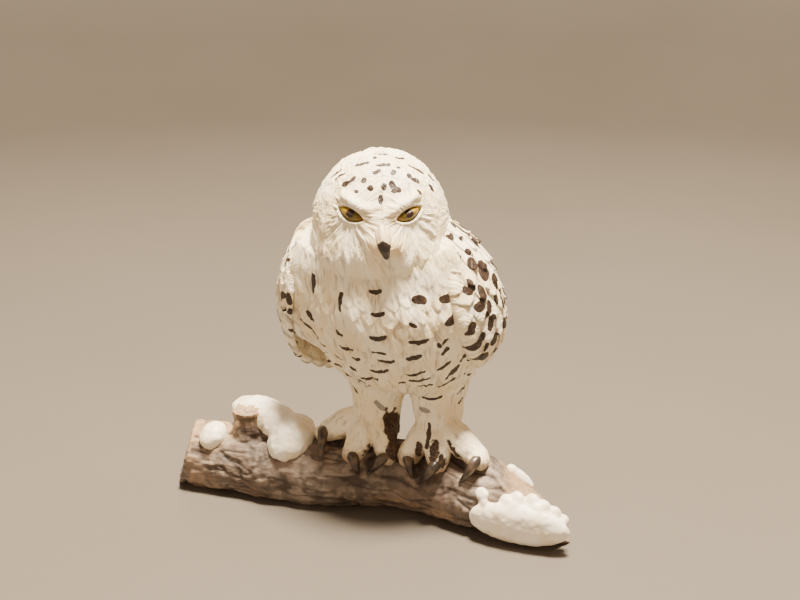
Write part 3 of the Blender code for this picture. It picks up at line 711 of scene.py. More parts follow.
# Wings

wings = {
    "segments": 400,
    "rings": 236,
    "feather": (3.3, 2.45),  # across, down, mm
    "lift": 0.8,
    "barb": 0.05,
    "quill": 0.08,
    "streak": 0.09,
    "lump": 0.22,
    "thinEdge": 0.55,
    "inner": {1: (1.0, 0.8), -1: (2.4, 1.8)},  # thicker inside, behind the front edge and low down
    "fillets": {"body": 3.2, "head": 3.5},
    "bolder": 0.25,
    1: [
        (-0.47, 0.048, 0.7, 0.6, 40, 0), (0.35, 0.09, 1.6, 0.4, -30, 0), (-0.96, 0.091, 1.2, 0.8, 30, 0.1),
        (-0.92, 0.08, 0.6, 0.4, 60, 0), (-0.68, 0.10, 0.9, 0.6, -60, 0), (-0.16, 0.144, 2.4, 0.5, -58, 0),
        (-0.05, 0.135, 1.2, 0.45, -30, 0), (0.15, 0.174, 1.6, 0.5, -45, 0), (-0.665, 0.157, 1.4, 0.5, -70, 0),
        (-0.93, 0.19, 1.5, 1.1, 15, 0.1), (-0.88, 0.172, 0.9, 0.4, 55, 0), (-0.678, 0.214, 2.5, 1.5, -60, 0),
        (-0.513, 0.277, 2.6, 1.9, -50, 0), (-0.50, 0.237, 1.5, 0.8, -62, 0), (-0.133, 0.29, 1.9, 0.5, -80, 0),
        (-0.374, 0.356, 3.2, 0.9, -82, 0.1), (-0.837, 0.31, 1.9, 0.8, -72, 0),
        (-0.875, 0.346, 2.2, 1.25, -15, 0.1), (-0.80, 0.335, 1.4, 0.6, -50, 0),
        (-0.703, 0.375, 3.0, 1.0, -75, 0), (-0.72, 0.415, 2.6, 0.9, 72, 0),
        (-0.786, 0.449, 2.2, 1.4, 10, 0.2), (-0.659, 0.472, 2.4, 0.65, 78, 0.1),
        (-0.729, 0.515, 1.6, 0.7, 68, 0),
        (-0.691, 0.571, 3.0, 0.95, 68, 0.1), (-0.475, 0.449, 2.5, 0.55, 80, 0),
        (-0.38, 0.485, 2.4, 0.42, 74, 0.2),
        (-0.33, 0.44, 1.6, 0.4, 80, 0), (-0.184, 0.522, 2.2, 0.6, 85, 0), (-0.463, 0.634, 2.0, 1.25, 45, 0),
        (-0.285, 0.651, 1.8, 0.5, 85, 0), (-0.932, 0.561, 1.9, 1.0, 62, 0.1),
        (-0.963, 0.591, 1.7, 0.7, 15, 0.1),
        (-0.881, 0.651, 2.3, 0.9, 60, 0.1), (-0.97, 0.69, 2.3, 1.1, 12, 0.2),
        (-0.716, 0.69, 2.6, 1.35, 65, 0),
        (-0.602, 0.78, 2.6, 0.95, 60, 0), (-0.86, 0.723, 1.8, 0.4, 75, 0), (-0.96, 0.785, 2.3, 1.1, 20, 0.1),
        (-0.93, 0.80, 1.6, 0.8, 40, 0), (-0.80, 0.80, 1.2, 0.5, 60, 0),
    ],
    -1: [
        (-0.968, 0.164, 1.1, 0.4, 55, 0), (-0.968, 0.237, 2.4, 0.5, 62, 0), (-0.974, 0.20, 1.0, 0.3, 60, 0),
        (-0.824, 0.336, 2.0, 0.45, 75, 0), (-0.958, 0.439, 2.5, 0.85, -85, 0.1),
        (-0.975, 0.518, 1.6, 0.9, -50, 0),
        (-0.888, 0.518, 1.7, 0.4, 80, 0), (-0.974, 0.651, 1.4, 0.65, -60, 0), (-0.95, 0.85, 1.5, 0.4, -60, 0),
        (-1.03, 0.44, 1.8, 0.75, -55, 0.1), (-1.04, 0.70, 1.3, 0.6, 10, 0), (-0.82, 0.25, 1.2, 0.4, 65, 0),
    ],
}


def stretched(mark):  # a mark is broader where the wing curves round to the side
    across, down, length, width, turn, curl = mark
    more = 1 / max(abs(across), 0.55) - 1
    lying = math.cos(math.radians(turn)) ** 2
    return across, down, length * (1 + more * lying), width * (1 + more * (1 - lying)), turn, curl


def longer(down):  # the flight feathers are longer than those of the shoulder
    return 1 + 0.9 * ease(0.35, 0.85, down)


def featherRows(down, drop):  # rows from the shoulder down
    steps = np.linspace(0.005, 0.995, 100)
    rows = np.cumsum(drop / 100 / (wings["feather"][1] * longer(steps)))
    return np.interp(down, np.linspace(0, 1, 101), [0, *rows])


def makeWing(side, name):
    piece = addSphere(name, wings["segments"], wings["rings"])
    n = pointsOf(piece)
    places = wingPlace(n, side)
    movePoints(piece, places)
    out = normalsOf(piece)
    down = (1 - n[:, 2]) / 2
    level = np.maximum(np.hypot(n[:, 0], n[:, 1]), 1e-6)
    across = n[:, 1] / level * level**0.7
    front, rear = through(wing["rows"], down, 1), through(wing["rows"], down, 2)
    arc = np.radians((front + rear) / 2 + across * (rear - front) / 2) * 17.5
    wobble = pairs(arc / 5, down * 5)
    long = longer(down)
    u = arc / wings["feather"][0] + 0.22 * cloud(wobble, 4) + 0.5 * down * side
    v = featherRows(down, wing["drop"][side]) + 0.22 * cloud(wobble, 6) + 0.12 * across
    coat = shingles(u, v, 0, 81 + side, reach=2.1, wide=0.6)
    outside = ease(-0.15, 0.35, n[:, 0] / level)
    barbs = rough(pairs(u * 7 + 2.2 * np.abs(coat["side"]) * coat["share"], v * 1.6), 91, 2)
    quill = mound(coat["side"], 0.09) * ease(0.05, 0.3, coat["share"])
    slope, reach = np.abs(coat["side"]) * 1.7, coat["share"] * 4.5 * long
    streak = streaks(reach - slope, reach + slope, 95, 0.5)
    height = wings["lift"] * (coat["lift"] - 0.55) + wings["barb"] * barbs + wings["quill"] * quill
    height += wings["streak"] * streak + wings["lump"] * cloud(wobble * 1.4, 14)
    height *= 0.25 + 0.75 * outside
    height -= wings["thinEdge"] * ease(0.75, 1.0, down) * outside  # thin at its lower edge
    inner = ease(0.35, -0.5, n[:, 0] / level) * ease(0.0, 0.12, down)
    thicker, lower = wings["inner"][side]
    height += thicker * inner * ease(0.2, -0.5, across) * ease(0.95, 0.75, down)
    height += lower * inner * ease(0.35, 0.6, down) * ease(-0.5, 0.1, across)
    outward = wing["stand"] + n[:, 0] / level * level**0.7 * wing["thick"] / 2
    height += fillet(np.where(across < 0, outward, 9.0), wings["fillets"]["body"]) * ease(1.0, 0.93, down)
    height += fillet(headDistance(places), wings["fillets"]["head"])
    relief = 0.5 + 0.75 * (coat["lift"] - 0.5) + 0.16 * barbs + 0.16 * streak
    keep(piece, relief=relief - 0.15 * mound(coat["edge"], 0.08))
    marks = [stretched(mark) for mark in wings[side]]
    drawn = distanceToMarks(places, marks, wingSpot(side), wings["bolder"])
    x, y = coat["side"] * 1.6, (coat["share"] - 0.74) * 4.6 * long
    blot = np.hypot(x * (1.0 + 0.25 * coat["chance"]), y * 0.62) - 0.62 - 0.2 * coat["chance"]
    blot = np.where(coat["chance"] > -0.45, blot, 2.0)
    seen = ease(0.0, -0.12, across - (-0.22 if side > 0 else -0.62))
    mark = np.where(seen > 0.5, drawn, np.minimum(drawn, blot))
    keepFlow(piece, reach - slope, reach + slope, coat["chance"] * 30)
    keep(piece, mark=np.where(n[:, 0] / level > -0.25, mark, drawn))
    movePoints(piece, places + out * height[:, None])
    smooth(piece)
    return piece


# Tail

tail = {
    "segments": 300,
    "rings": 150,
    "long": 19.0,
    "wide": 12.0,
    "thick": 3.4,
    "slope": 52.0,
    "rise": 9.5,
    "back": 7.0,
    "feathers": (2.6, 5.2),  # across half of it, down it
    "lift": 0.45,
    "barb": 0.05,
}


def makeTail():
    piece = addSphere("tailFan", tail["segments"], tail["rings"])
    n = pointsOf(piece)
    root = bodyBase + turned(np.array(0.0), np.array(tail["back"])) + np.array([0, 0, tail["rise"]])
    slope = math.radians(tail["slope"])
    along = turned(np.array(0.0), np.array(math.cos(slope))) - np.array([0, 0, math.sin(slope)])
    wide = turned(np.array(1.0), np.array(0.0))
    thick = np.cross(wide, along)
    down = (1 - n[:, 2]) / 2
    level = np.maximum(np.hypot(n[:, 0], n[:, 1]), 1e-6)
    blunt = level**0.5 / level
    spread = 0.55 + 0.45 * down
    across = n[:, 0] * blunt
    places = root + along * (tail["long"] * down)[:, None]
    places = places + wide * (across * tail["wide"] / 2 * spread)[:, None]
    places = places + thick * (n[:, 1] * blunt * tail["thick"] / 2)[:, None]
    movePoints(piece, places)
    out = normalsOf(piece)
    u = across * tail["feathers"][0]
    v = down * tail["feathers"][1] + 0.25 * np.abs(across)
    coat = shingles(u + 0.1 * cloud(pairs(u, down * 4), 4), v, 0, 101, reach=2.4, jitter=0.08)
    barbs = rough(pairs(u * 6, down * 7), 111, 2)
    height = tail["lift"] * (coat["lift"] - 0.5) + tail["barb"] * barbs
    keep(piece, relief=0.5 + 0.7 * (coat["lift"] - 0.5) + 0.15 * barbs)
    x, y = coat["side"] * 1.5, (coat["share"] - 0.72) * 6.0
    bar = np.hypot(np.maximum(np.abs(x) - 0.6, 0), y - 0.25 * x**2) - 0.36
    keep(piece, mark=np.where(coat["chance"] > -0.6, bar, 2.0))
    slope, reach = np.abs(coat["side"]) * 1.5, coat["share"] * 8.0
    keepFlow(piece, reach - slope, reach + slope, coat["chance"] * 30)
    movePoints(piece, places + out * height[:, None])
    smooth(piece)
    return piece


# Legs and feet, their fluff and their smears

legs = {
    "spread": 5.6,
    "topRadius": 5.3,
    "ankleRadius": 4.05,
    "ankleHeight": 4.2,
    "toeRadii": (2.95, 2.75, 1.95),
    "toeEnd": 1.75,
    "voxel": 0.17,
    1: {  # each toe: reach along the log of its end and its claw's tip, their angles on the log, front
        "inner": (-5.7, -4.8, 40, 66, 1),
        "middle": (-0.4, -3.7, 41, 73, 1),
        "outer": (6.9, 3.5, 22, 55, 1),
        "rear": (0.4, 0.6, 40, 76, -1),
    },
    -1: {
        "outer": (-9.7, -10.1, 6, 44, 1),
        "middle": (-4.5, -3.2, 43, 71, 1),
        "inner": (2.1, -1.6, 43, 68, 1),
        "rear": (0.6, 0.4, 40, 76, -1),
    },
}
claws = {"radius": 1.12, "tip": 0.3, "hump": 1.45, "gap": 0.3}


def anklePlace(side):
    x = owl["x"] + side * legs["spread"]
    return logAxis(x) + np.array([0, 0, float(logRadius(x)) + legs["ankleHeight"]])


def legTop(side):
    foot = anklePlace(side)
    under = bodyBase + np.array([side * legs["spread"] * 0.9, 0, 0])
    return np.array([(under[0] + foot[0]) / 2, (under[1] + foot[1]) / 2, under[2] + 2.0])


def makeLeg(side, name):
    foot, top = anklePlace(side), legTop(side)
    middle = (foot + top) / 2
    ankleRadius, topRadius = legs["ankleRadius"], legs["topRadius"]
    shin = addTube(
        name, [foot - [0, 0, 2.6], foot, middle, top],
        [ankleRadius, ankleRadius, (ankleRadius + topRadius) / 2, topRadius], 24, 8,
    )
    shapes = [shin]
    for toe, (reach, _, angle, _, front) in legs[side].items():
        end = roundLog(foot[0] + reach, angle, legs["toeRadii"][2] * 0.8, front)
        knuckle = (foot + end) / 2 + np.array([0, 0, 0.9])
        shapes.append(addTube(name + toe, [foot - [0, 0, 0.6], knuckle, end], legs["toeRadii"], 16, 6))
        shapes.append(addBall(name + toe + "end", end, np.eye(3), [legs["toeEnd"]] * 3))
    piece = melt(name, shapes, legs["voxel"], 10)
    places = layoutOf(piece)
    out = normalsOf(piece)
    offset = places - foot
    fan = np.arctan2(offset[:, 0], -offset[:, 1])
    shin = ease(1.0, 4.0, offset[:, 2])
    hang = rough(pairs(fan * 8 + 0.5 * cloud(places / 1.7, 3), offset[:, 2] / 2.4), 121, 2)
    row = 40 - offset[:, 2] / 2.0 + 0.3 * cloud(places / 2, 5)
    coat = shingles(fan * 2.2 + 0.3 * cloud(places / 2, 4), row, 0, 131)
    fluff = rough(places / np.array([1.0, 1.0, 1.5]), 141, 3)
    clump = cloud(places / 2.1, 151)
    height = (0.16 * hang + 0.3 * (coat["lift"] - 0.4)) * shin + 0.24 * fluff * (1 - shin) + 0.25 * clump
    streak = streaks(fan * 4.3 + 0.6 * cloud(places / 1.6, 7), offset[:, 2], 145)
    height += fillet(bodyDistance(places), 3.5) + 0.14 * streak * shin
    # Painted shade: more towards the bottom of the foot and where the surface faces down, broken up by noise.
    dirt = -offset[:, 2] * 0.22 + 0.35 * rough(places / 1.3, 161, 3) - 0.45 * out[:, 2]
    relief = (0.3 * hang + 0.3 * (coat["lift"] - 0.5) + 0.2 * streak) * shin + 0.3 * fluff * (1 - shin)
    keep(piece, relief=0.5 + relief, dirt=dirt)
    keepFlow(piece, fan * 4.3 + 0.5 * cloud(places / 1.8, 7), -offset[:, 2])
    movePoints(piece, places + out * height[:, None])
    paintLeg(piece, side, places, foot)
    smooth(piece)
    return piece


def paintLeg(piece, side, places, foot):
    # Brown and grey dabs down the shins, and a dark smear from the ankle on to the bark.
    x, y, z = (places - foot).T
    front = ease(0.6, -0.6, y)
    kept = {kind: np.full(len(x), 3.0) for kind in ("brown", "grey", "smear")}
    for kind, (across, up, length, width, turn, curl) in legMarks[side]:
        c, s = math.cos(math.radians(turn)), math.sin(math.radians(turn))
        p, q = (x - across) * c + (z - up) * s, (z - up) * c - (x - across) * s
        share = np.clip(2 * p / length, -1, 1)
        q = q - curl * (share**2 - 0.3)
        half = width / 2 * (1 - 0.3 * np.abs(share))
        away = np.hypot(np.maximum(np.abs(p) - max(length - width, 0) / 2, 0), q) - half + 3 * (1 - front)
        kept[kind] = np.minimum(kept[kind], away)
    keep(piece, mark=kept["brown"], grey=kept["grey"], smear=kept["smear"])


legMarks = {
    1: [
        ("brown", (-1.2, 7.2, 3.6, 0.6, 8, 0.45)), ("grey", (-2.6, 4.6, 2.4, 1.2, 0, 0)),
        ("brown", (3.3, 8.3, 2.0, 0.5, 42, 0.1)), ("brown", (3.6, 6.0, 1.4, 0.5, 40, 0.1)),
        ("brown", (-0.6, 9.8, 2.8, 0.4, 0, 0.3)), ("brown", (-2.0, 0.2, 4.6, 0.8, 82, 0.2)),
        ("smear", (-1.0, -1.9, 4.4, 2.0, 74, 0.2)), ("smear", (2.6, -1.4, 4.2, 1.0, -52, 0.2)),
        ("smear", (-3.6, -2.6, 3.4, 1.6, 86, 0)), ("smear", (0.4, -3.4, 3.0, 1.6, -80, 0)),
    ],
    -1: [
        ("brown", (-3.6, 7.6, 2.2, 0.45, -62, 0)), ("brown", (-2.6, 9.2, 2.4, 0.5, -20, 0.1)),
        ("grey", (0.6, 4.6, 3.2, 1.1, -50, 0)), ("grey", (2.4, 8.3, 2.2, 1.0, -12, 0.2)),
        ("brown", (0.2, 9.6, 1.6, 0.4, 15, 0.1)), ("smear", (2.9, 0.2, 6.5, 3.2, -76, 0.2)),
        ("smear", (1.6, 3.0, 2.8, 0.8, 80, 0)), ("smear", (3.0, 2.6, 3.0, 0.9, 80, 0)),
        ("smear", (3.3, -3.2, 5.0, 3.4, -86, 0)), ("smear", (-1.8, -3.4, 2.6, 1.0, 60, 0)),
    ],
}


def makeClaw(side, toe, name):
    reach, tip, first, last, front = legs[side][toe]
    x = float(anklePlace(side)[0])
    path, radii = [], []
    for t in np.linspace(-0.1, 1, 9):
        share = max(t, 0.0)
        radius = claws["radius"] + (claws["tip"] - claws["radius"]) * share**1.5
        hump = claws["hump"] * math.sin(math.pi * min(share + 0.15, 1.0))
        stand = claws["gap"] * 0.6 + radius + hump
        path.append(roundLog(x + reach + (tip - reach) * t, first + (last - first) * t, stand, front))
        radii.append(radius)
    horn = addTube(name, path, radii, 40, 8)
    knob = addBall(name + "root", path[0], np.eye(3), [claws["radius"]] * 3, 24, 16)
    point = addBall(name + "point", path[-1], np.eye(3), [claws["tip"]] * 3, 12, 8)
    piece = melt(name, [horn, knob, point], 0.1, 3)
    places = layoutOf(piece)
    movePoints(piece, places + normalsOf(piece) * (0.035 * rough(places / 0.9, 171, 2))[:, None])
    return piece


# Eyes and beak

def makeEye(side, name):
    piece = addSphere(name, 96, 64)
    n = pointsOf(piece)
    middle, across, out, up = eyeFrame(side, head["eyeSlant"])
    long, over, under = head["socket"]
    p, q = n[:, 0], n[:, 2]
    tall = np.where(q > 0, over, under) * np.clip(1 - p**2, 0, 1) ** 0.25
    places = middle + across * (p * long * 1.02)[:, None] + up * (q * tall * 1.04)[:, None]
    places = places - out * (n[:, 1] * head["eyeProud"])[:, None]
    movePoints(piece, places)
    keep(piece, across=p * long, rise=q * tall, rim=np.hypot(p, q))
    smooth(piece)
    return piece


beak = {
    "path": [(0.3, 9.0, 0.2), (0.5, 11.4, -0.9), (0.8, 12.5, -2.7), (1.05, 12.5, -4.4)],
    "radii": [1.35, 1.4, 1.25, 0.6],
}


def makeBeak():
    path = [headMiddle + [x, -ahead, up] for x, ahead, up in beak["path"]]
    horn = addTube("bill", path, beak["radii"], 40, 10)
    point = addBall("beakPoint", path[-1], np.eye(3), [0.6] * 3, 16, 10)
    root = addBall("beakRoot", path[0], np.eye(3), [1.35] * 3, 32, 20)
    piece = melt("bill", [horn, point, root], 0.09, 4)
    places = layoutOf(piece)
    offset = places - headMiddle
    side = offset[:, 0] - 0.3 + 0.17 * offset[:, 2]
    ridge = mound(side, 0.35) * 0.12 - 0.1 * mound(np.abs(side) - 0.75, 0.25) * ease(-3.4, -2.0, offset[:, 2])
    movePoints(piece, places + normalsOf(piece) * ridge[:, None])
    keep(piece, tip=-1.55 - 0.75 * np.abs(side) - offset[:, 2])
    return piece


# Branch

bark = {"voxel": 0.225, "ridge": 0.42, "plate": 0.5}


def makeBranch():
    shares = np.linspace(log["rows"][0][0] - 0.06, log["rows"][-1][0] + 0.02, 60)
    stations = log["middle"] - log["length"] / 2 + shares * log["length"]
    trunk = addTube("perch", logAxis(stations), logRadius(stations), 160, 14)
    for end, slant in log["slants"].items():
        turn = math.radians(slant)
        outward = (math.cos(turn) * end, 0, -math.sin(turn) * end)
        place = np.array([log["middle"] + end * log["length"] / 2, 0, log["radius"] - log["flat"]])
        cutAway(trunk, (place + rowShift) * mm, outward)
    cutAway(trunk, (0, 0, 0.0001), (0, 0, -1))  # it stands flat
    stubX = log["middle"] - log["length"] / 2 + log["stub"]
    base, _, front = logFrame(stubX)
    top = base + np.array([-0.6, 0, log["stubHeight"] + 0.5]) + front * 0.8
    low, high = log["stubRadii"]
    twig = addTube("stub", [base, (base + top) / 2, top], [low * 1.12, (low + high) / 2, high], 12, 10)
    piece = melt("perch", [trunk, twig], bark["voxel"], 3)
    places = layoutOf(piece)
    out = normalsOf(piece)
    axis, _, level = logFrame(places[:, 0])
    offset = places - axis
    angle = np.arctan2((offset * level).sum(1), offset[:, 2])
    reach = np.hypot((offset * level).sum(1), offset[:, 2])
    onStub = ease(0.4, 1.4, offset[:, 2] - logRadius(places[:, 0]) + 0.6)
    onStub = onStub * mound((places[:, 0] - stubX) / 4.6, 1.0)
    onStub = np.clip(onStub * 1.6, 0, 1)
    ends = sum(
        ease(-0.9, -0.2, (places - [log["middle"] + end * log["length"] / 2, 0, log["radius"] - log["flat"]])
             @ np.array([math.cos(math.radians(slant)) * end, 0, -math.sin(math.radians(slant)) * end]))
        for end, slant in log["slants"].items()
    )
    bend = 0.8 * cloud(places / 6.0, 180)
    fibre = rough(pairs(places[:, 0] / 5.0, angle * 5.2 + bend, reach / 9), 181, 4)
    crack = 1 - np.abs(rough(pairs(places[:, 0] / 6.5, angle * 2.6 + bend, reach / 9), 191, 3)) * 2.2
    crack = np.clip(crack, 0, 1) ** 3
    plate = rough(places / 3.2, 201, 3)
    grain = rough(places * np.array([1.3, 1.3, 0.55]) / 1.1, 211, 3)
    height = bark["ridge"] * fibre + bark["plate"] * plate * 0.7 - 0.35 * crack + 0.16 * grain
    height = height * (1 - ends) * (1 - onStub) + onStub * (0.3 * grain + 0.25 * plate)
    splinters = rough(pairs(places[:, 0] / 1.1, places[:, 1] / 1.1), 215, 2)
    height += onStub * 0.5 * splinters * ease(6.5, 9.0, offset[:, 2])
    height += ends * 0.32 * rough(places * np.array([0.5, 1.4, 1.4]) / 1.4, 221, 3)
    hollow = stubHollow(places, base, top, front)
    torn = onStub * ease(7.6, 9.6, offset[:, 2])
    rise = places[:, 2]
    moved = places + out * height[:, None] - out * (hollow * 0.3)[:, None]
    flat = out[:, 2] < -0.95
    moved[:, 2] = np.where(flat, places[:, 2], np.maximum(moved[:, 2], 0.02))
    band = mound(rise - 2.6, 1.5) * ease(-8, 4, places[:, 0]) * ease(24, 12, places[:, 0]) * (angle > 0)
    leftPale = ease(-22, -31, places[:, 0]) * ease(-37.5, -34.5, places[:, 0])
    rightPale = ease(19, 26, places[:, 0]) * ease(-5.0, -1.0, offset[:, 2])
    topPale = mound(angle, 0.7) * ease(-10, -20, places[:, 0]) * 0.5
    pale = 0.5 * leftPale + 0.8 * rightPale + 0.55 * band + topPale + 0.7 * torn
    keep(piece, relief=0.5 + 0.5 * height / 0.6, pale=pale, hollow=hollow, crack=crack * (1 - ends))
    movePoints(piece, moved)
    return piece


def stubHollow(places, base, top, front):  # the broken twig is torn open down its front
    offset = places - base
    share = offset[:, 2] / (top - base)[2]
    ahead = offset @ front
    side = np.abs(offset[:, 0] + 0.3 + 0.5 * cloud(places / 2.0, 217))
    return ease(1.2, 2.4, ahead) * ease(3.0, 1.2, side) * ease(0.45, 0.7, share) * ease(1.0, 0.86, share)


def cutAway(piece, place, outward):
    bpy.ops.object.select_all(action="DESELECT")
    bpy.context.view_layer.objects.active = piece
    piece.select_set(True)
    bpy.ops.object.mode_set(mode="EDIT")
    bpy.ops.mesh.select_all(action="SELECT")
    bpy.ops.mesh.bisect(plane_co=place, plane_no=outward, use_fill=True, clear_outer=True)
    bpy.ops.object.mode_set(mode="OBJECT")


# Snow

snow = {
    "voxel": 0.17,
    "ball": (-1, 5.7, 30, (2.6, 2.9, 2.4)),
    "lobe": (-1, 20.7, 12, (4.3, 5.4, 4.3)),
    "cap": ((5.6, 3.5, 2.9), 9.1, 2.4),  # radii, rise, how far back
    "drift": (1, 3.0, 101, (9.1, 4.3, 2.3)),
    "scallops": [  # along from the break, angle, size
        (9.2, 64, 1.35), (7.4, 84, 1.6), (5.0, 68, 1.5), (3.4, 62, 1.5), (1.9, 70, 1.2), (0.7, 61, 1.35),
        (-0.9, 70, 1.5), (-2.8, 78, 1.4), (-4.4, 88, 1.2), (9.6, 98, 1.8), (4.0, 76, 2.0), (0.4, 76, 2.0),
    ],
    "strip": (1.6, (3.3, 1.2, 1.1)),
}


def lumpOnLog(name, end, inwards, angle, radii):
    x = log["middle"] + end * log["length"] / 2 - end * inwards
    centre, along, _ = logFrame(x)
    surface = roundLog(x, abs(angle), 0.0, 1 if angle >= 0 else -1)
    out = (surface - centre) / np.linalg.norm(surface - centre)
    return addBall(name, surface, [along, np.cross(out, along), out], radii)


def finishSnow(name, lumps, ripple, seed, rounds=14):
    piece = melt(name, lumps, snow["voxel"], rounds)
    places = layoutOf(piece)
    out = normalsOf(piece)
    height = ripple * (rough(places / 2.4, seed, 2) + 0.5 * rough(places / 1.3, seed + 3, 2))
    height += 0.05 * rough(places / 0.8, seed + 5, 2)
    moved = places + out * height[:, None]
    moved[:, 2] = np.maximum(moved[:, 2], 0.35)
    keep(piece, relief=0.5 + rough(places / 2.0, seed + 9, 3) * 0.5)
    movePoints(piece, moved)
    return piece


def makeSnow():
    ball = finishSnow("snowBall", [lumpOnLog("ball", *snow["ball"])], 0.22, 231)
    stubX = log["middle"] - log["length"] / 2 + log["stub"]
    centre, along, front = logFrame(stubX)
    radii, rise, back = snow["cap"]
    capPlace = centre + np.array([0, 0, rise]) - front * back
    lobePlace = roundLog(log["middle"] - log["length"] / 2 + snow["lobe"][1], snow["lobe"][2], 2.0, 1)
    bridges = [capPlace + (lobePlace - capPlace) * share for share in (0.35, 0.6)]
    cap = finishSnow("snowCap", [
        addBall("cap", capPlace, [along, front, np.array([0, 0, 1])], radii),
        lumpOnLog("lobe", *snow["lobe"]),
        *(addBall("bridge", place, np.eye(3), (3.5, 3.6, 3.1)) for place in bridges),
    ], 0.4, 241, 36)
    driftLumps = [lumpOnLog("drift", *snow["drift"]), lumpOnLog("neck", 1, 9.0, 76, (0.85, 1.6, 1.2))]
    for inwards, angle, size in snow["scallops"]:
        driftLumps.append(lumpOnLog("scallop", 1, inwards, angle, (size, size, size * 0.85)))
    drift = finishSnow("snowDrift", driftLumps, 0.22, 251)
    inwards, radii = snow["strip"]
    turn = math.radians(-log["slants"][1])
    x = log["middle"] + log["length"] / 2 - inwards
    centre = logFrame(x)[0]
    rise = inwards / math.tan(turn)
    backward = math.sqrt(float(logRadius(x)) ** 2 - rise**2)
    rim = np.array([x, centre[1] + backward, centre[2] + rise])
    slope = np.array([math.sin(turn), 0, -math.cos(turn)])
    across, out = np.array([0, 1.0, 0]), np.array([math.cos(turn), 0, math.sin(turn)])
    strip = finishSnow("snowStrip", [
        addBall("strip", rim, [slope, across, out], radii),
        addBall("stripEnd", rim - slope * 2.2, [slope, across, out], (1.2, 1.1, 1.1)),
    ], 0.15, 261)
    return ball, cap, drift, strip


# Paint

def tint(red, green, blue):  # a colour as it is mixed on screen, 0 to 255
    def linear(value):
        value = value / 255
        return value / 12.92 if value <= 0.04045 else ((value + 0.055) / 1.055) ** 2.4
    return (linear(red), linear(green), linear(blue), 1.0)


class Wire:  # one socket; sums on it add Math nodes
    def __init__(self, tree, socket=None):
        self.tree = tree
        self.socket = socket

    def node(self, kind, settings=None, sockets=None, out=0):
        made = self.tree.nodes.new("ShaderNode" + kind)
        for name, value in (settings or {}).items():
            setattr(made, name, value)
        for name, value in (sockets or {}).items():
            if isinstance(value, Wire):
                self.tree.links.new(value.socket, made.inputs[name])
            else:
                made.inputs[name].default_value = value
        return Wire(self.tree, made.outputs[out])

    def maths(self, operation, *values):
        return self.node("Math", {"operation": operation}, dict(enumerate(values)))

    def __add__(self, other):
        return self.maths("ADD", self, other)

    def __radd__(self, other):
        return self.maths("ADD", other, self)

    def __sub__(self, other):
        return self.maths("SUBTRACT", self, other)

    def __rsub__(self, other):
        return self.maths("SUBTRACT", other, self)

    def __mul__(self, other):
        return self.maths("MULTIPLY", self, other)

    def __rmul__(self, other):
        return self.maths("MULTIPLY", other, self)

    def attribute(self, name, out=2):
        return self.node("Attribute", {"attribute_name": name}, out=out)

    def place(self, stretch=(1, 1, 1)):  # object coordinates in millimetres
        centre = self.node("TexCoord", out=3)
        return self.node("Mapping", None, {"Vector": centre, "Scale": [1000 * s for s in stretch]})

    def noise(self, vector, size, detail=3.0):
        return self.node("TexNoise", None, {"Vector": vector, "Scale": 1.0 / size, "Detail": detail})

    def between(self, value, low, high):  # 0 at low, 1 at high
        return self.node("MapRange", {"interpolation_type": "SMOOTHSTEP"}, {0: value, 1: low, 2: high})

    def mix(self, share, first, second):
        return self.node("Mix", {"data_type": "RGBA"}, {0: share, 6: first, 7: second}, out=2)


def newPaint(name, rough=0.5, **constant):
    material = bpy.data.materials.new(name)
    material.use_nodes = True
    tree = material.node_tree
    shader = tree.nodes["Principled BSDF"]
    shader.inputs["Roughness"].default_value = rough
    for socket, value in constant.items():
        shader.inputs[socket.replace("_", " ")].default_value = value
    return material, Wire(tree), shader


def connect(wire, shader, colour, gloss=None, height=None, bump=0.3, depth=0.00006):
    wire.tree.links.new(colour.socket, shader.inputs["Base Color"])
    if gloss is not None:
        wire.tree.links.new(gloss.socket, shader.inputs["Roughness"])
    if height is not None:
        normal = wire.node("Bump", None, {"Strength": bump, "Distance": depth, "Height": height})
        wire.tree.links.new(normal.socket, shader.inputs["Normal"])


plumage = {
    "white": tint(245, 236, 214),
    "cream": tint(238, 222, 188),
    # painted shade for the hollows of the feather relief
    "hollowShade": tint(150, 130, 110),
    "mark": tint(44, 32, 26),
    "markLight": tint(64, 47, 37),
    "lid": tint(92, 72, 50),
    "bristle": tint(226, 200, 158),
    "grey": tint(118, 116, 118),
    "smear": tint(88, 64, 50),
    # painted shade low on the feet
    "dirt": tint(128, 102, 80),
}


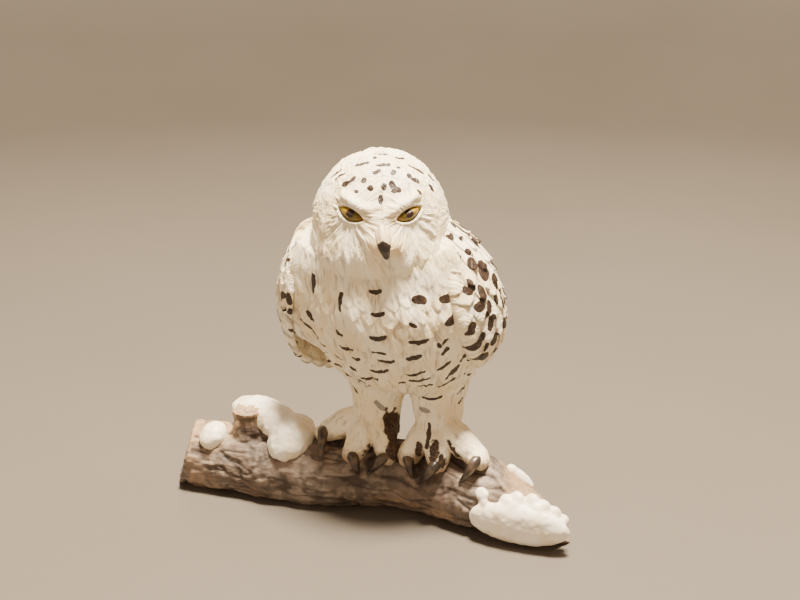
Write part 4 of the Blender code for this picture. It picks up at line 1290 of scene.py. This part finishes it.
def plumagePaint(name, eyes=False, feet=False):
    material, wire, shader = newPaint(name, 0.55, IOR=1.45)
    place = wire.place()
    fine = wire.noise(place, 0.35, 4.0)
    broad = wire.noise(place, 6.0, 2.0)
    relief = wire.attribute("relief")
    flow = wire.node("Mapping", None, {"Vector": wire.attribute("flow", 1), "Scale": (2.6, 0.42, 1.0)})
    strand = wire.noise(flow, 1.0, 3.0)
    colour = wire.mix(wire.between(broad, 0.4, 0.62), plumage["white"], plumage["cream"])
    # Painted shade: low places of the feather relief and the gaps between strands turn greyish brown.
    hollow = wire.between(relief + 1.3 * (strand - 0.5), 0.52, 0.1)
    colour = wire.mix(0.6 * hollow, colour, plumage["hollowShade"])
    wobble = 0.42 * (wire.noise(place, 0.75, 3.0) - 0.5)
    edge = wire.attribute("mark") + wobble
    blotch = wire.between(wire.noise(place, 0.5, 3.0), 0.45, 0.7)
    dark = wire.mix(blotch, plumage["mark"], plumage["markLight"])
    marked = wire.between(edge, 0.05, -0.05)
    colour = wire.mix(marked, colour, dark)
    if eyes:
        bristle = wire.between(wire.attribute("bristle") + 0.3 * (fine - 0.5), 0.25, 0.85)
        colour = wire.mix(0.85 * bristle, colour, plumage["bristle"])
        colour = wire.mix(0.4 * wire.between(wire.attribute("lid"), 0.14, 0.0), colour, plumage["lid"])
    if feet:
        dab = wire.between(wire.attribute("grey") + wobble, 0.08, -0.12)
        colour = wire.mix(0.85 * dab, colour, plumage["grey"])
        # Painted shade, low on the feet and on surfaces facing down.
        dirt = wire.between(wire.attribute("dirt") + 0.9 * (wire.noise(place, 1.1, 4.0) - 0.5), 0.3, 1.05)
        colour = wire.mix(0.75 * dirt, colour, plumage["dirt"])
        smeared = wire.attribute("smear") + 1.7 * (wire.noise(place, 0.9, 4.0) - 0.5)
        blotch = wire.between(wire.noise(place, 0.45, 4.0), 0.4, 0.65)
        streak = wire.mix(blotch, plumage["mark"], plumage["smear"])
        colour = wire.mix(wire.between(smeared, 0.1, -0.25), colour, streak)
    connect(wire, shader, colour, 0.62 - 0.2 * marked, strand + 0.25 * fine, 0.9, 0.00028)
    return material


def irisPaint():
    material, wire, shader = newPaint("yellowIris", 0.38, Coat_Weight=0.08, Coat_Roughness=0.2)
    across, rise, rim = (wire.attribute(name) for name in ("across", "rise", "rim"))
    place = wire.place()
    fine = wire.noise(place, 0.3, 3.0)
    p, q = across + 0.12, rise - 0.02
    reach = wire.maths("SQRT", p * p + q * q)
    lit = wire.between(across + rise * 0.8 + 0.6 * (fine - 0.5), -0.9, 1.1)
    yellow = wire.mix(lit, tint(104, 90, 12), tint(160, 128, 8))
    colour = wire.mix(wire.between(rise + 0.3 * (fine - 0.5), -0.15, -0.75), yellow, tint(122, 106, 40))
    colour = wire.mix(0.8 * wire.between(across, -1.3, -2.1), colour, tint(132, 84, 30))
    colour = wire.mix(wire.between(rim, 0.88, 1.0), colour, tint(72, 58, 26))
    colour = wire.mix(wire.between(reach + 0.1 * (fine - 0.5), 0.78, 0.62), colour, tint(44, 24, 24))
    connect(wire, shader, colour, None, fine, 0.1, 0.00003)
    return material


def hornPaint(name, billed=False):
    material, wire, shader = newPaint(name, 0.3, Coat_Weight=0.25, Coat_Roughness=0.2)
    place = wire.place()
    fine = wire.noise(place, 0.5, 4.0)
    broad = wire.noise(place, 1.8, 3.0)
    colour = wire.mix(wire.between(broad, 0.42, 0.68), tint(40, 32, 28), tint(84, 66, 50))
    if billed:
        shift = wire.attribute("tip") + 0.5 * (fine - 0.5)
        colour = wire.mix(wire.between(broad, 0.42, 0.68), tint(32, 22, 19), tint(52, 36, 29))
        pale = wire.mix(wire.between(broad, 0.4, 0.6), tint(228, 208, 176), tint(206, 180, 146))
        colour = wire.mix(wire.between(shift, 0.12, -0.12), colour, pale)
    connect(wire, shader, colour, 0.24 + 0.3 * fine, fine, 0.3, 0.00006)
    return material


def barkPaint():
    material, wire, shader = newPaint("brownBark", 0.62)
    relief, pale, hollow, crack = (wire.attribute(name) for name in ("relief", "pale", "hollow", "crack"))
    place = wire.place()
    along = wire.place((0.35, 1.2, 1.2))
    fine = wire.noise(along, 0.5, 5.0)
    broad = wire.noise(place, 4.5, 4.0)
    patchy = wire.between(0.5 * broad + 0.5 * wire.noise(place, 1.6, 4.0), 0.42, 0.58)
    colour = wire.mix(patchy, tint(92, 81, 74), tint(134, 121, 110))
    colour = wire.mix(0.6 * wire.between(wire.noise(place, 9.0, 3.0), 0.48, 0.62), colour, tint(108, 88, 76))
    crest = wire.between(relief + 0.35 * (fine - 0.5), 0.6, 0.95)
    colour = wire.mix(0.45 * crest, colour, tint(160, 140, 118))
    # Paler tan where the pale attribute is high: near both ends, in a band low on the front, along the top of
    # the left half and on the torn stub top, more on raised bark.
    palePatch = wire.between(pale + 0.5 * (relief - 0.5) + 0.6 * (fine - 0.5), 0.3, 0.85)
    colour = wire.mix(0.85 * palePatch, colour, wire.mix(broad, tint(146, 117, 88), tint(170, 141, 110)))
    deep = wire.between(relief + 0.25 * (fine - 0.5), 0.42, 0.1)
    colour = wire.mix(0.75 * deep, colour, tint(62, 51, 46))
    colour = wire.mix(0.45 * wire.between(crack, 0.35, 0.8), colour, tint(46, 33, 28))
    colour = wire.mix(0.8 * wire.between(hollow + 0.3 * (fine - 0.5), 0.2, 0.8), colour, tint(58, 42, 36))
    connect(wire, shader, colour, 0.72 - 0.2 * crest, fine, 0.6, 0.00018)
    return material


def snowPaint():
    material, wire, shader = newPaint("snow", 0.4, Coat_Weight=0.12, Coat_Roughness=0.3)
    place = wire.place()
    fine = wire.noise(place, 0.6, 3.0)
    broad = wire.noise(place, 4.0, 3.0)
    relief = wire.attribute("relief")
    colour = wire.mix(wire.between(broad, 0.45, 0.7), tint(238, 230, 215), tint(226, 211, 184))
    colour = wire.mix(0.4 * wire.between(relief, 0.35, 0.05), colour, tint(206, 192, 172))
    connect(wire, shader, colour, 0.34 + 0.2 * fine, fine, 0.25, 0.0001)
    return material


# Putting it together

def finish(piece, node, material):
    piece.data.materials.clear()
    piece.data.materials.append(material)
    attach(piece, "root")
    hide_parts(node)


white = plumagePaint("whiteFeathers")
faceWhite = plumagePaint("whiteFace", eyes=True)
legWhite = plumagePaint("legFeathers", feet=True)
horn = hornPaint("blackHorn")

finish(makeBody(), "owl_body", white)
finish(makeHead(), "owl_head", faceWhite)
print("owl: body and head")
finish(makeWing(1, "leftWing"), "left_wing", white)
finish(makeWing(-1, "rightWing"), "right_wing", white)
finish(makeTail(), "tail", white)
print("owl: wings and tail")
iris = irisPaint()
for side, name in ((1, "left"), (-1, "right")):
    finish(makeEye(side, name + "Eye"), name + "_eye", iris)
    finish(makeLeg(side, name + "Leg"), name + "_leg", legWhite)
    for toe in legs[side]:
        claw = makeClaw(side, toe, name + toe.capitalize() + "Claw")
        finish(claw, f"{name}_{toe}_claw", horn)
finish(makeBeak(), "beak", hornPaint("bill", billed=True))
print("owl: eyes, beak, legs and claws")
finish(makeBranch(), "branch", barkPaint())
snowWhite = snowPaint()
for lump, node in zip(makeSnow(), ("snow_ball", "snow_cap", "snow_drift", "snow_strip")):
    finish(lump, node, snowWhite)
print("branch and snow")


# Floor, light and camera

stage = {
    "radius": 0.6,
    "wall": 0.8,
    "sweep": 0.2,
    "world": (0.93, 0.96, 1.0),
    "worldStrength": 0.21,
    "look": (4.8, 0.0, 38.13),
    "distance": 240.0,
    "rise": 18.0,
    "lens": 60.0,
}


def makeStage():  # a round floor that sweeps up into a wall all about
    bpy.ops.object.select_all(action="DESELECT")
    bpy.ops.mesh.primitive_cylinder_add(
        vertices=96, radius=stage["radius"], depth=stage["wall"], location=(0, 0, stage["wall"] / 2)
    )
    bpy.ops.object.transform_apply(location=True)
    floor = bpy.context.active_object
    floor.name = "floor"
    bpy.ops.object.mode_set(mode="EDIT")
    bpy.ops.mesh.select_mode(type="FACE")
    bpy.ops.mesh.select_all(action="DESELECT")
    bpy.ops.object.mode_set(mode="OBJECT")
    for face in floor.data.polygons:
        face.select = face.center.z > stage["wall"] * 0.9
    bpy.ops.object.mode_set(mode="EDIT")
    bpy.ops.mesh.delete(type="ONLY_FACE")
    bpy.ops.mesh.select_all(action="SELECT")
    bpy.ops.mesh.flip_normals()
    bpy.ops.object.mode_set(mode="OBJECT")
    applyModifier(floor, "BEVEL", width=stage["sweep"], segments=12, limit_method="ANGLE")
    floor.data.polygons.foreach_set("use_smooth", [True] * len(floor.data.polygons))
    keep(floor, wall=ease(0.02, 0.3, np.array([vertex.co.z for vertex in floor.data.vertices])))
    material, wire, shader = newPaint("paleFloor", 0.5)
    place = wire.place()
    colour = wire.mix(wire.noise(place, 60.0, 2.0), tint(92, 86, 80), tint(98, 92, 86))
    colour = wire.mix(wire.attribute("wall"), colour, tint(232, 214, 192))
    connect(wire, shader, colour)
    floor.data.materials.append(material)


def addLight(name, place, aim, size, power, colour):
    lamp = bpy.data.lights.new(name, "AREA")
    lamp.size = size
    lamp.energy = power
    lamp.color = colour
    light = bpy.data.objects.new(name, lamp)
    bpy.context.scene.collection.objects.link(light)
    light.location = place
    direction = [p - a for p, a in zip(place, aim)]
    level = math.hypot(direction[0], direction[1])
    light.rotation_euler = (math.atan2(level, direction[2]), 0, math.atan2(direction[0], -direction[1]))


makeStage()
owlTop = (0.005, 0.0, 0.05)
addLight("overhead", (0.04, -0.05, 0.50), owlTop, 0.10, 18.0, (1.0, 0.86, 0.64))
addLight("leftFill", (-0.4, -0.35, 0.25), owlTop, 0.4, 0.3, (0.95, 0.96, 1.0))

world = bpy.data.worlds.new("softRoom")
bpy.context.scene.world = world
world.use_nodes = True
world.node_tree.nodes["Background"].inputs["Color"].default_value = (*stage["world"], 1.0)
world.node_tree.nodes["Background"].inputs["Strength"].default_value = stage["worldStrength"]

rise = math.radians(stage["rise"])
look = (np.array(stage["look"]) + rowShift) * mm
camera = bpy.data.objects.new("camera", bpy.data.cameras.new("camera"))
bpy.context.scene.collection.objects.link(camera)
camera.data.lens = stage["lens"]
camera.data.sensor_width = 36.0
camera.data.clip_start = 0.01
camera.location = look + np.array([0, -math.cos(rise), math.sin(rise)]) * stage["distance"] * mm
camera.rotation_euler = (math.radians(90) - rise, 0, 0)
bpy.context.scene.camera = camera
